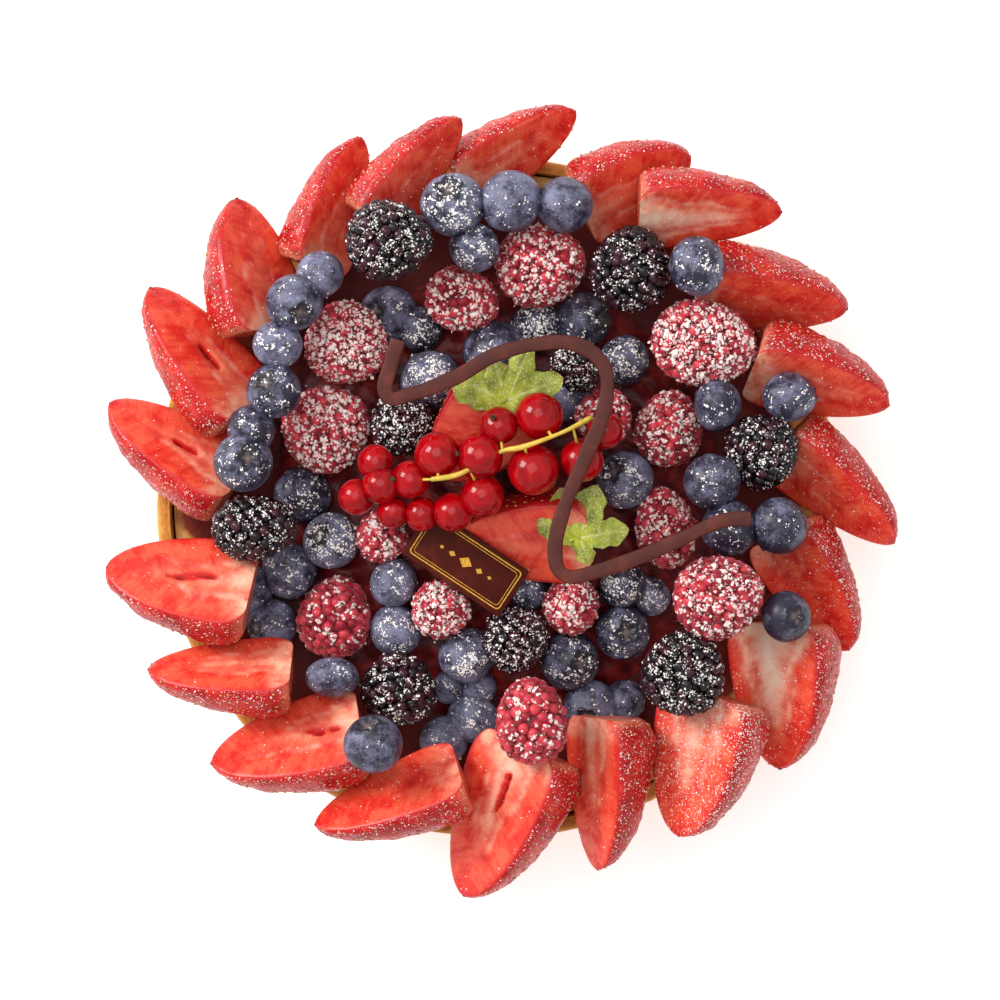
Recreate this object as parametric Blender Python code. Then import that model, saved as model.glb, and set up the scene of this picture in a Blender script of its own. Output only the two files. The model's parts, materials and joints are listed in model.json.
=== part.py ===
"""Fruit crostata: a straight-sided shortcrust shell filled with custard, ringed with
strawberry halves laid like a pinwheel and heaped with berries, a sprig of redcurrants,
a squiggle and a small plaque of chocolate.

Tables are in millimetres, seen from above with +Y at the back, and the origin is the
middle of the shell's underside. Each fruit is lowered on what lies below it.
"""

import math
import random

import bmesh
import bpy
from mathutils import Euler, Matrix, Vector
from mathutils.bvhtree import BVHTree

MM = 0.001
GAP = 0.3

CRUST_RADIUS = 90.0
CRUST_HEIGHT = 22.0
CRUST_WALL = 4.0
CRUST_FLOOR = 4.5
CRUST_SIDES = 36
RIM_WAVE = 0.35

CUSTARD_LEVEL = 19.5
CUSTARD_SIDES = 28

CORE_RADIUS = 59.0
CORE_RISE = 12.0
CORE_SIDES = 14
SUNK = 0.30

RIBBON_WIDTH = 3.8
RIBBON_THICKNESS = 2.4
PLAQUE_SIZE = (30.6, 14.4, 1.8)
STEM_THICKNESS = 1.3
STALKS_RIGHT_OF = 5.0
SEPAL_THICKNESS = 0.9
CAP_INWARD = 2.5
CAP_HEIGHT = 6.0
CAP_HUB = 8.0

# Strawberry halves of the ring: tip x, y, stem end x, y, width seen from above, lean in degrees.
RING_STRAWBERRIES = (
    (21.0, 101.0, -4.0, 85.0, 19.0, 40),
    (51.0, 89.0, 28.0, 78.0, 23.0, 44),
    (74.5, 74.0, 43.5, 74.5, 20.5, 46),
    (91.5, 48.5, 59.0, 53.5, 22.5, 54),
    (102.5, 23.5, 73.0, 33.0, 22.5, 52),
    (104.0, -12.5, 79.5, 9.5, 21.0, 52),
    (92.0, -40.5, 77.5, -15.0, 22.5, 44),
    (73.5, -71.0, 74.0, -39.5, 28.0, 40),
    (47.0, -88.5, 55.0, -58.0, 28.5, 42),
    (26.0, -97.5, 27.5, -64.0, 22.0, 58),
    (-9.0, -104.0, 6.0, -71.0, 29.0, 42),
    (-47.5, -85.0, -15.5, -74.0, 20.5, 50),
    (-74.5, -69.0, -41.5, -62.0, 25.0, 42),
    (-91.0, -44.5, -60.0, -45.5, 20.0, 52),
    (-102.0, -18.0, -70.5, -24.0, 26.5, 38),
    (-101.5, 25.0, -74.0, 6.5, 23.0, 46),
    (-90.5, 55.0, -69.5, 27.0, 23.5, 46),
    (-67.5, 78.0, -61.5, 50.0, 25.0, 46),
    (-35.0, 94.0, -45.5, 66.0, 19.5, 48),
    (-9.0, 98.5, -28.5, 76.0, 18.5, 50),
)
CUT_RISE = 0.30
SHOULDER = 6.5
FULLNESS = 1.07  # a berry bulges past the width that its neighbours leave showing
SKIN_FACETS = 6
BERRY_STATIONS = (0.0, 0.08, 0.25, 0.47, 0.70, 0.89)

# Whole heap of blueberries: x, y, diameter, rise above where it would rest.
HEAP_BLUEBERRIES = (
    (-20.0, 44.0, 12.5, 0.0),
    (-28.5, 48.0, 15.5, 0.5),
    (-17.5, 30.5, 16.0, 1.5),
    (-0.5, 38.0, 17.0, 1.5),
    (10.5, 45.0, 13.5, 1.0),
    (22.5, 46.5, 15.0, 0.5),
    (33.5, 36.0, 13.5, 0.0),
    (18.5, 26.0, 13.0, 0.0),
    (33.5, 4.5, 15.5, 1.5),
    (-51.0, 0.5, 15.5, 0.0),
    (-43.5, -11.5, 15.0, 1.5),
    (-54.5, -19.5, 15.0, 0.5),
    (-65.0, -24.0, 13.0, 0.0),
    (-59.0, -33.5, 13.5, 1.0),
    (-26.5, -35.0, 14.0, 1.0),
    (-27.0, -22.5, 13.0, 1.0),
    (-8.0, -41.5, 15.0, 1.5),
    (-12.5, -50.0, 9.0, 0.5),
    (-5.0, -50.0, 10.0, 0.0),
    (-6.5, -58.0, 13.5, 0.5),
    (-14.0, -64.0, 13.0, 0.0),
    (19.0, -43.0, 15.5, 1.0),
    (24.5, -55.0, 14.0, 4.0),
    (33.5, -53.5, 11.5, 0.0),
    (33.0, -35.5, 14.5, 1.5),
    (33.0, -23.0, 12.5, 1.0),
    (40.5, -26.0, 10.5, 0.0),
    (8.0, -24.5, 11.0, 0.0),
)
# Rows of blueberries that press against each other: x, y, diameter, height in the row.
BLUEBERRY_ROWS = {
    "blueberry_row_left": (
        (-46.0, 58.0, 12.5, 0.0),
        (-52.5, 50.5, 15.0, 3.0),
        (-57.0, 39.5, 13.0, 0.5),
        (-58.0, 27.5, 14.5, 1.5),
        (-64.0, 17.5, 13.0, -1.0),
        (-66.0, 9.0, 15.5, 2.5),
    ),
    "blueberry_row_back": (
        (-11.5, 76.0, 17.0, 1.0),
        (3.5, 77.0, 16.5, 1.0),
        (17.5, 76.0, 15.0, 0.0),
        (-6.0, 65.0, 13.5, -1.0),
    ),
    "blueberry_row_right": (
        (56.0, 4.0, 15.0, 1.0),
        (60.5, -8.0, 15.0, 0.0),
        (73.5, -7.5, 15.0, 0.5),
    ),
}
# Blueberries that lie alone: name, x, y, width, depth, height.
LONE_BLUEBERRIES = {
    "blueberry_01": (52.0, 60.0, 15.0, 16.0, 14.5),
    "blueberry_02": (76.0, 26.0, 14.5, 13.0, 13.0),
    "blueberry_03": (75.0, -31.0, 13.0, 13.5, 12.5),
    "blueberry_04": (57.5, 24.0, 12.5, 14.0, 13.0),
    "blueberry_05": (-43.0, -47.0, 14.5, 10.5, 11.5),
    "blueberry_06": (-32.0, -64.0, 15.5, 15.5, 14.0),
}
# Raspberries and dark bramble fruits: x, y, width, depth, height, turn in degrees.
RASPBERRIES = {
    "raspberry_01": (11.5, 60.5, 24.0, 22.0, 19.0, 10),
    "raspberry_02": (-9.0, 51.5, 20.0, 17.0, 17.0, -20),
    "raspberry_03": (-39.5, 40.5, 22.0, 22.0, 20.0, 95),
    "raspberry_04": (-44.5, 18.0, 23.5, 23.0, 19.0, 30),
    "raspberry_05": (54.0, 40.0, 28.0, 22.5, 19.0, -10),
    "raspberry_06": (45.0, 18.0, 18.0, 20.5, 17.0, 80),
    "raspberry_07": (57.5, -26.0, 24.0, 22.0, 19.0, 15),
    "raspberry_08": (44.0, -8.0, 16.0, 22.0, 17.0, 100),
    "raspberry_09": (-42.5, -31.5, 19.5, 22.0, 18.0, 75),
    "raspberry_10": (9.0, -58.0, 19.0, 23.0, 18.0, 95),
    "raspberry_11": (-14.5, -29.5, 16.0, 15.5, 15.0, 0),
    "raspberry_12": (19.5, -28.5, 15.5, 15.0, 15.0, 40),
    "raspberry_13": (-30.0, -10.5, 14.0, 14.0, 13.0, 0),
    "raspberry_14": (28.0, 21.0, 15.0, 15.5, 14.0, 60),
}
DARK_BERRIES = {
    "bramble_01": (-28.0, 66.5, 23.0, 21.0, 19.0, 0),
    "bramble_02": (35.0, 59.5, 21.5, 23.0, 19.0, 80),
    "bramble_03": (69.0, 12.0, 20.0, 20.0, 17.0, 30),
    "bramble_04": (-63.0, -8.0, 23.0, 17.5, 17.0, 5),
    "bramble_05": (-25.5, -50.5, 20.5, 19.5, 17.0, -30),
    "bramble_06": (48.5, -45.5, 22.0, 23.0, 18.0, 70),
    "bramble_07": (-24.5, 19.0, 17.5, 17.0, 16.0, 0),
    "bramble_08": (5.0, -37.0, 18.0, 17.5, 16.0, 20),
    "bramble_09": (21.0, 34.5, 14.5, 14.5, 14.0, 50),
}
KNOB_DEPTH = 0.17

# Strawberries on top: stem end x, y, heading of the tip, length, width, lean, and the
# sepals of the leafy cap as heading, length, width, lift of the tip.
TOP_STRAWBERRIES = {
    "top_strawberry_left": (
        (4.5, 27.0, 228, 29.0, 25.0, -8),
        ((158, 16.0, 13.0, 0.5), (112, 11.0, 9.0, 1.5), (68, 15.5, 8.0, 2.0), (22, 15.5, 9.5, 0.5),
         (318, 7.0, 6.0, -1.0)),
    ),
    "top_strawberry_right": (
        (24.0, -10.5, 183, 36.0, 25.0, -22),
        ((158, 12.0, 9.0, 0.5), (112, 14.0, 11.0, 1.5), (72, 14.5, 9.5, 2.0), (10, 13.0, 9.0, 0.5),
         (290, 7.5, 6.0, -1.0)),
    ),
}

# Redcurrants of the sprig: x, y, diameter, height in the sprig.
CURRANTS = (
    (-15.5, 11.0, 12.0, 0.0),
    (-22.5, 4.5, 10.0, -2.0),
    (-4.5, 10.5, 12.5, 0.5),
    (0.5, 18.5, 10.0, 0.5),
    (11.0, 21.0, 12.5, 1.0),
    (9.5, 7.0, 13.5, 0.5),
    (-3.8, 0.3, 11.5, -1.0),
    (-11.5, -4.0, 10.5, -3.0),
    (-19.5, -4.5, 9.0, -4.0),
    (-31.5, 9.0, 9.5, -4.0),
    (-36.5, 0.0, 9.5, -5.0),
    (-30.0, 3.0, 10.0, -2.5),
    (22.0, 9.5, 11.5, -1.0),
    (28.0, 17.0, 9.5, -2.0),
    (-27.0, -4.0, 8.5, -5.0),
)
SPRIG_STEM = (
    (-17.0, 4.5, 3.5), (-9.5, 6.0, 4.5), (0.5, 11.5, 3.5), (7.0, 13.0, 6.0), (16.5, 16.5, 5.5),
    (24.5, 20.5, 2.5),
)

# Chocolate squiggle, middle line of its flat top seen from above.
RIBBON_ROUTE = (
    (-25.5, 40.5), (-27.5, 34.0), (-29.0, 28.0), (-27.0, 25.3), (-22.5, 26.5), (-17.5, 28.0),
    (-9.5, 31.5), (-2.0, 36.0), (4.5, 38.3), (10.5, 39.5), (16.5, 40.0), (21.5, 39.0),
    (25.5, 36.5), (28.0, 33.0), (28.5, 28.5), (28.0, 24.0), (26.5, 18.5), (24.0, 13.0),
    (21.5, 7.0), (19.0, 1.5), (17.0, -4.0), (15.5, -9.5), (15.0, -14.5), (16.0, -19.0),
    (19.5, -20.7), (26.0, -19.2), (33.0, -17.0), (40.0, -14.2), (47.0, -11.2), (54.0, -7.8),
    (60.0, -5.8), (65.5, -5.8),
)
PLAQUE_CENTRE = (-8.2, -17.0)
PLAQUE_HEADING = 146.5
PLAQUE_PITCH = -4.0

DROP_FROM = 75.0
DROP_STEP = 0.5
DROP_FINE = 0.05


def clear_scene():
    for item in list(bpy.data.objects):
        bpy.data.objects.remove(item, do_unlink=True)


def material(name, colour, roughness):
    made = bpy.data.materials.new(name)
    made.use_nodes = True
    shader = made.node_tree.nodes["Principled BSDF"]
    shader.inputs["Base Color"].default_value = (*colour, 1.0)
    shader.inputs["Roughness"].default_value = roughness
    made.diffuse_color = (*colour, 1.0)
    return made


def finish_mesh(name, bm, surface, smooth=True):
    """Turn a bmesh in millimetres into an object in metres."""
    bmesh.ops.recalc_face_normals(bm, faces=bm.faces)
    bmesh.ops.scale(bm, vec=(MM, MM, MM), verts=bm.verts)
    mesh = bpy.data.meshes.new(name)
    bm.to_mesh(mesh)
    bm.free()
    mesh.materials.append(surface)
    if smooth:
        mesh.shade_smooth()
        mesh.set_sharp_from_angle(angle=math.radians(50))
    made = bpy.data.objects.new(name, mesh)
    bpy.context.collection.objects.link(made)
    return made


def turned(profile, sides, wave=0.0):
    """Closed solid turned about Z from (radius, height) points, wave lifts its highest rings."""
    bm = bmesh.new()
    rim = max(height for _, height in profile) - 2.0
    rings = []
    for radius, height in profile:
        if radius == 0.0:
            rings.append([bm.verts.new((0.0, 0.0, height))] * sides)
            continue
        ring = []
        for side in range(sides):
            angle = math.tau * side / sides
            uneven = math.sin(3 * angle + 0.6) + 0.7 * math.sin(7 * angle)
            level = height + wave * uneven * (height > rim)
            ring.append(bm.verts.new((radius * math.cos(angle), radius * math.sin(angle), level)))
        rings.append(ring)
    for lower, upper in zip(rings, rings[1:]):
        for side in range(sides):
            after = (side + 1) % sides
            corners = [lower[side], lower[after], upper[after], upper[side]]
            face = [corner for place, corner in enumerate(corners) if corner not in corners[:place]]
            bm.faces.new(face)
    return bm


def crust(surface):
    outer = CRUST_RADIUS
    inner = CRUST_RADIUS - CRUST_WALL
    profile = (
        (0.0, 0.0), (outer - 2.0, 0.0), (outer - 0.3, 1.6), (outer, CRUST_HEIGHT - 1.6),
        (outer - 1.2, CRUST_HEIGHT - 0.3), (outer - 2.6, CRUST_HEIGHT), (inner, CRUST_HEIGHT - 1.2),
        (inner - 0.4, CRUST_FLOOR + 1.5), (inner - 2.2, CRUST_FLOOR), (0.0, CRUST_FLOOR),
    )
    return finish_mesh("crust", turned(profile, CRUST_SIDES, RIM_WAVE), surface)


def custard(surface):
    edge = CRUST_RADIUS - CRUST_WALL - GAP - 0.5
    floor = CRUST_FLOOR + GAP
    profile = (
        (0.0, floor), (edge - 2.6, floor), (edge - 0.4, floor + 2.2), (edge, CUSTARD_LEVEL - 0.6),
        (edge - 0.8, CUSTARD_LEVEL), (0.0, CUSTARD_LEVEL),
    )
    return finish_mesh("custard", turned(profile, CUSTARD_SIDES), surface)


def girth(along):
    """Radius of a strawberry from its stem end (0) to its tip (1), the widest place is 1."""
    shoulder = 0.70 + 0.30 * math.sqrt(1.0 - (1.0 - min(along / 0.20, 1.0)) ** 2)
    return shoulder * (1.0 - along ** 2.1) ** 0.60 / 0.975


def strawberry_half(length, radius, rng):
    """Half a strawberry along X, tip at +X, its flat cut face up."""
    bm = bmesh.new()
    rise = CUT_RISE * radius
    sway = rng.uniform(-0.05, 0.05) * radius
    rings = []
    for along in BERRY_STATIONS:
        girth_here = radius * girth(along) * rng.uniform(0.97, 1.03)
        cut = min(rise * (1.0 - along), 0.9 * girth_here)
        opening = math.asin(cut / girth_here)
        ring = []
        for facet in range(SKIN_FACETS + 1):
            turn = opening - (math.pi + 2.0 * opening) * facet / SKIN_FACETS
            side = girth_here * math.cos(turn) + sway * math.sin(math.pi * along)
            ring.append(bm.verts.new(((along - 0.5) * length, side, girth_here * math.sin(turn))))
        rings.append(ring)
    tip = bm.verts.new((0.5 * length, 0.0, 0.0))
    for near, far in zip(rings, rings[1:]):
        for facet in range(SKIN_FACETS):
            bm.faces.new((near[facet], near[facet + 1], far[facet + 1], far[facet]))
    for facet in range(SKIN_FACETS):
        bm.faces.new((rings[-1][facet], rings[-1][facet + 1], tip))
    bm.faces.new([ring[0] for ring in rings] + [tip] + [ring[-1] for ring in reversed(rings)])
    bm.faces.new(list(reversed(rings[0])))
    return bm


def plan_radius(width, lean):
    """Radius of a half berry that is this wide seen from above when it leans."""
    return FULLNESS * width / (1.0 + 0.97 * math.cos(lean) + 0.25 * math.sin(abs(lean)))


def ring_strawberry(number, row, surface, rng):
    tip_x, tip_y, stem_x, stem_y, width, lean = row
    heading = math.atan2(tip_y - stem_y, tip_x - stem_x)
    length = math.hypot(tip_x - stem_x, tip_y - stem_y) + SHOULDER
    lean = math.radians(lean)
    bm = strawberry_half(length, plan_radius(width, lean), rng)
    made = finish_mesh(f"strawberry_{number:02d}", bm, surface)
    middle_x = tip_x - 0.5 * length * math.cos(heading)
    middle_y = tip_y - 0.5 * length * math.sin(heading)
    made.location = (middle_x * MM, middle_y * MM, 0.0)
    made.rotation_euler = (lean, math.radians(2.0), heading)
    return made


def ball(bm, centre, diameter):
    """Ball of 60 facets with a pole pressed in, as the crown of a blueberry is."""
    bmesh.ops.create_icosphere(bm, subdivisions=1, radius=1.0)
    bmesh.ops.poke(bm, faces=bm.faces[:])
    for vert in bm.verts:
        vert.co = vert.co.normalized() * 0.5 * diameter
    pole = max(bm.verts, key=lambda vert: vert.co.z)
    pole.co.z -= 0.10 * diameter
    bmesh.ops.translate(bm, vec=centre, verts=bm.verts)


def joined(name, pieces, surface):
    """One solid from overlapping pieces: a Boolean union on their collection, applied."""
    first = pieces[0]
    rest = bpy.data.collections.new(name + "_pieces")
    for piece in pieces[1:]:
        rest.objects.link(piece)
    union = first.modifiers.new("union", "BOOLEAN")
    union.operation = "UNION"
    union.operand_type = "COLLECTION"
    union.collection = rest
    union.solver = "MANIFOLD"
    bpy.context.view_layer.update()
    graph = bpy.context.evaluated_depsgraph_get()
    mesh = bpy.data.meshes.new_from_object(first.evaluated_get(graph))
    for piece in pieces:
        bpy.data.objects.remove(piece, do_unlink=True)
    bpy.data.collections.remove(rest)
    mesh.name = name
    mesh.materials.clear()
    mesh.materials.append(surface)
    mesh.shade_smooth()
    mesh.set_sharp_from_angle(angle=math.radians(50))
    made = bpy.data.objects.new(name, mesh)
    bpy.context.collection.objects.link(made)
    return made


def ball_piece(place, diameter, surface):
    bm = bmesh.new()
    ball(bm, place, diameter)
    return finish_mesh("ball", bm, surface)


def core_level(radius):
    share = min(radius / CORE_RADIUS, 1.0)
    return CUSTARD_LEVEL + GAP + CORE_RISE * (1.0 - share ** 3)


def blueberry_heap(surface):
    """Blueberries at true size over a low core that lies on the custard."""
    over = [(share * CORE_RADIUS, core_level(share * CORE_RADIUS)) for share in (1.0, 0.85, 0.5, 0.0)]
    profile = [(0.0, CUSTARD_LEVEL + GAP), (CORE_RADIUS - 0.5, CUSTARD_LEVEL + GAP)]
    profile += [(CORE_RADIUS, over[0][1] + 0.6)] + over[1:]
    pieces = [finish_mesh("core", turned(profile, CORE_SIDES), surface)]
    for x, y, diameter, rise in HEAP_BLUEBERRIES:
        on_core = core_level(math.hypot(x, y)) + SUNK * diameter + rise
        on_custard = CUSTARD_LEVEL + GAP + 0.5 * diameter
        pieces.append(ball_piece((x, y, max(on_core, on_custard)), diameter, surface))
    return joined("blueberry_heap", pieces, surface)


def blueberry_row(name, row, surface):
    pieces = [ball_piece((x, y, height), diameter, surface) for x, y, diameter, height in row]
    return joined(name, pieces, surface)


def lone_blueberry(name, row, surface, rng):
    x, y, width, depth, height = row
    bm = bmesh.new()
    ball(bm, (0.0, 0.0, 0.0), 1.0)
    lean = Euler((rng.uniform(-0.8, 0.8), rng.uniform(-0.8, 0.8), 0.0))
    bmesh.ops.rotate(bm, matrix=lean.to_matrix(), verts=bm.verts)
    bmesh.ops.scale(bm, vec=(width, depth, height), verts=bm.verts)
    made = finish_mesh(name, bm, surface)
    made.location = (x * MM, y * MM, 0.0)
    return made


def knobbly_berry(name, row, surface, rng):
    """Berry of 32 round drupelets: raised points with pits between them."""
    x, y, width, depth, height, turn = row
    bm = bmesh.new()
    bmesh.ops.create_icosphere(bm, subdivisions=1, radius=0.5)
    bmesh.ops.poke(bm, faces=bm.faces[:])
    ridges = bm.edges[:]
    knobs = set(bm.verts)
    bmesh.ops.poke(bm, faces=bm.faces[:])
    bmesh.ops.rotate_edges(bm, edges=ridges, use_ccw=False)
    for vert in bm.verts:
        vert.co *= 1.0 / (2.0 * vert.co.length)
    for vert in bm.verts:
        vert.co *= rng.uniform(0.95, 1.03) if vert in knobs else 1.0 - KNOB_DEPTH
    bmesh.ops.rotate(bm, matrix=Matrix.Rotation(rng.uniform(0.0, math.tau), 3, "Z"), verts=bm.verts)
    for vert in bm.verts:
        vert.co.y *= 1.0 - 0.28 * vert.co.x
        vert.co.z *= 1.0 - 0.20 * vert.co.x
    turn = math.radians(turn)
    along = max(width, depth)
    across = min(width, depth)
    bmesh.ops.scale(bm, vec=(along, across, height), verts=bm.verts)
    made = finish_mesh(name, bm, surface, smooth=False)
    made.location = (x * MM, y * MM, 0.0)
    made.rotation_euler = (0.0, 0.0, turn)
    return made


def sepal(root, heading, length, width, lift):
    """Thin wavy leaf from root outwards, both faces split into triangles alike."""
    bm = bmesh.new()
    forward = Vector((math.cos(heading), math.sin(heading), 0.0))
    sideways = Vector((-forward.y, forward.x, 0.0))
    rows = []
    for step, share in enumerate((0.0, 0.5, 1.0)):
        half = 0.5 * width * (0.45 + 1.5 * share - 1.85 * share ** 2)
        wave = 0.5 * math.sin(2.2 * step + heading)
        middle = root + forward * length * share
        middle.z += lift * share ** 1.5 + wave
        row = []
        for side in (-1.0, 0.0, 1.0):
            point = middle + sideways * half * side
            point.z -= 0.12 * width * abs(side) * (1.0 - share)
            row.append(point)
        rows.append(row)
    faces = {}
    for level in (-0.5, 0.5):
        offset = Vector((0.0, 0.0, level * SEPAL_THICKNESS))
        faces[level] = [[bm.verts.new(point + offset) for point in row] for row in rows]
    for level, order in ((0.5, 1), (-0.5, -1)):
        grid = faces[level]
        for near, far in zip(grid, grid[1:]):
            for side in range(2):
                bm.faces.new((near[side], far[side], far[side + 1])[::order])
                bm.faces.new((near[side], far[side + 1], near[side + 1])[::order])
    rim_upper, rim_lower = (
        [row[0] for row in grid] + [grid[-1][1]] + [row[2] for row in reversed(grid)] + [grid[0][1]]
        for grid in (faces[0.5], faces[-0.5])
    )
    for place in range(len(rim_upper)):
        after = (place + 1) % len(rim_upper)
        bm.faces.new((rim_upper[place], rim_upper[after], rim_lower[after], rim_lower[place]))
    return bm


def top_strawberry(name, body, sepals, surface, rng):
    stem_x, stem_y, heading, length, width, lean = body
    lean = math.radians(lean)
    heading = math.radians(heading)
    bm = strawberry_half(length, plan_radius(width, lean), rng)
    bmesh.ops.translate(bm, vec=(0.5 * length, 0.0, 0.0), verts=bm.verts)
    turn = Euler((lean, math.radians(3.0), heading)).to_matrix()
    bmesh.ops.rotate(bm, matrix=turn, verts=bm.verts)
    pieces = [finish_mesh("body", bm, surface)]
    inward = Vector((math.cos(heading), math.sin(heading), 0.0))
    root = inward * CAP_INWARD + Vector((0.0, 0.0, CAP_HEIGHT))
    pieces.append(ball_piece(root - Vector((0.0, 0.0, 0.4 * CAP_HUB)), CAP_HUB, surface))
    for step, (toward, reach, broad, lift) in enumerate(sepals):
        start = root + Vector((0.0, 0.0, 0.35 * step))
        pieces.append(finish_mesh("sepal", sepal(start, math.radians(toward), reach, broad, lift), surface))
    made = joined(name, pieces, surface)
    made.location = (stem_x * MM, stem_y * MM, 0.0)
    return made


def rod(start, end, thickness, sides=3):
    """Closed straight rod between two points."""
    bm = bmesh.new()
    axis = end - start
    turn = Vector((0.0, 0.0, 1.0)).rotation_difference(axis).to_matrix().to_4x4()
    place = Matrix.Translation((start + end) / 2) @ turn
    bmesh.ops.create_cone(
        bm, cap_ends=True, segments=sides, radius1=thickness / 2, radius2=thickness / 2,
        depth=axis.length + 0.4 * thickness, matrix=place,
    )
    return bm


def redcurrant_sprig(surface):
    pieces = [ball_piece((x, y, height), diameter, surface) for x, y, diameter, height in CURRANTS]
    points = [Vector(point) for point in SPRIG_STEM]
    for start, end in zip(points, points[1:]):
        pieces.append(finish_mesh("stalk", rod(start, end, STEM_THICKNESS), surface))
    for x, y, diameter, height in CURRANTS:
        if x > STALKS_RIGHT_OF:
            berry = Vector((x, y, height))
            nearest = min(points, key=lambda point: (point - berry).length)
            pieces.append(finish_mesh("stalk", rod(nearest, berry, STEM_THICKNESS), surface))
    return joined("redcurrant_sprig", pieces, surface)


def chocolate_ribbon(surface):
    """Flat squiggle: a rectangle with the middle of its top along the route."""
    bm = bmesh.new()
    points = [Vector((x, y, 0.0)) for x, y in RIBBON_ROUTE]
    sections = []
    for place, point in enumerate(points):
        before = points[max(place - 1, 0)]
        after = points[min(place + 1, len(points) - 1)]
        along = (after - before).normalized()
        side = Vector((-along.y, along.x, 0.0)) * RIBBON_WIDTH / 2
        down = Vector((0.0, 0.0, -RIBBON_THICKNESS))
        corners = (point - side, point + side, point + side * 1.05 + down, point - side * 1.05 + down)
        sections.append([bm.verts.new(corner) for corner in corners])
    for near, far in zip(sections, sections[1:]):
        for corner in range(4):
            after = (corner + 1) % 4
            bm.faces.new((near[corner], near[after], far[after], far[corner]))
    bm.faces.new(sections[0])
    bm.faces.new(list(reversed(sections[-1])))
    return finish_mesh("chocolate_ribbon", bm, surface)


def chocolate_plaque(surface):
    bm = bmesh.new()
    bmesh.ops.create_cube(bm, size=1.0)
    bmesh.ops.scale(bm, vec=PLAQUE_SIZE, verts=bm.verts)
    upright = [edge for edge in bm.edges if abs(edge.verts[0].co.z - edge.verts[1].co.z) > 0.5]
    bmesh.ops.bevel(bm, geom=upright, offset=0.6, segments=2, affect="EDGES")
    made = finish_mesh("chocolate_plaque", bm, surface)
    made.location = (PLAQUE_CENTRE[0] * MM, PLAQUE_CENTRE[1] * MM, 0.0)
    made.rotation_euler = (0.0, math.radians(PLAQUE_PITCH), math.radians(PLAQUE_HEADING))
    return made


def skin(piece, grow=0.0):
    """World points of a piece, moved out from its middle by grow, and its faces."""
    bpy.context.view_layer.update()
    points = [piece.matrix_world @ vert.co for vert in piece.data.vertices]
    middle = sum(points, Vector()) / len(points)
    if grow:
        points = [point + (point - middle).normalized() * grow for point in points]
    return points, [tuple(face.vertices) for face in piece.data.polygons]


def box_of(points):
    low = Vector([min(point[axis] for point in points) for axis in range(3)])
    high = Vector([max(point[axis] for point in points) for axis in range(3)])
    return low, high


def keep_place(piece, laid):
    points, faces = skin(piece)
    laid.append((BVHTree.FromPolygons(points, faces), *box_of(points)))


def lay(piece, laid):
    """Lower a piece from above until it is a gap clear of what lies below it."""
    points, faces = skin(piece, GAP * MM)
    low, high = box_of(points)
    near = [
        tree for tree, other_low, other_high in laid
        if low.x < other_high.x and high.x > other_low.x and low.y < other_high.y and high.y > other_low.y
    ]

    def touches(height):
        moved = [point + Vector((0.0, 0.0, height * MM)) for point in points]
        tree = BVHTree.FromPolygons(moved, faces)
        return any(tree.overlap(other) for other in near)

    height = DROP_FROM
    while not touches(height) and height > 0.0:
        height -= DROP_STEP
    while touches(height):
        height += DROP_FINE
    piece.location.z += height * MM
    keep_place(piece, laid)


def build():
    clear_scene()
    rng = random.Random(7)
    surfaces = {
        "shortcrust": material("shortcrust", (0.72, 0.43, 0.16), 0.75),
        "custard": material("custard", (0.85, 0.62, 0.26), 0.35),
        "strawberry": material("strawberry", (0.70, 0.05, 0.03), 0.3),
        "blueberry": material("blueberry", (0.09, 0.09, 0.18), 0.5),
        "raspberry": material("raspberry", (0.45, 0.02, 0.04), 0.45),
        "bramble": material("bramble", (0.03, 0.015, 0.03), 0.35),
        "redcurrant": material("redcurrant", (0.55, 0.0, 0.01), 0.1),
        "chocolate": material("chocolate", (0.12, 0.05, 0.035), 0.4),
    }
    laid = []
    for piece in (crust(surfaces["shortcrust"]), custard(surfaces["custard"])):
        keep_place(piece, laid)
    keep_place(blueberry_heap(surfaces["blueberry"]), laid)
    for number, row in enumerate(RING_STRAWBERRIES, start=1):
        lay(ring_strawberry(number, row, surfaces["strawberry"], rng), laid)
    for name, row in DARK_BERRIES.items():
        lay(knobbly_berry(name, row, surfaces["bramble"], rng), laid)
    for name, row in RASPBERRIES.items():
        lay(knobbly_berry(name, row, surfaces["raspberry"], rng), laid)
    for name, row in BLUEBERRY_ROWS.items():
        lay(blueberry_row(name, row, surfaces["blueberry"]), laid)
    for name, row in LONE_BLUEBERRIES.items():
        lay(lone_blueberry(name, row, surfaces["blueberry"], rng), laid)
    for name, (body, sepals) in TOP_STRAWBERRIES.items():
        lay(top_strawberry(name, body, sepals, surfaces["strawberry"], rng), laid)
    lay(chocolate_plaque(surfaces["chocolate"]), laid)
    lay(redcurrant_sprig(surfaces["redcurrant"]), laid)
    lay(chocolate_ribbon(surfaces["chocolate"]), laid)


build()
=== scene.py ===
"""Looks of a fruit crostata: real fruit, pastry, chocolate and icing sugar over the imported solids.

Tables are in millimetres, seen from above with +Y at the back of the tart.
"""

import functools
import json
import math

import bpy
import numpy as np
from bpy.props import FloatProperty, FloatVectorProperty, IntProperty, PointerProperty
from bpy.types import Operator, Panel, PropertyGroup
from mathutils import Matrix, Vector
from mathutils.bvhtree import BVHTree

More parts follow.
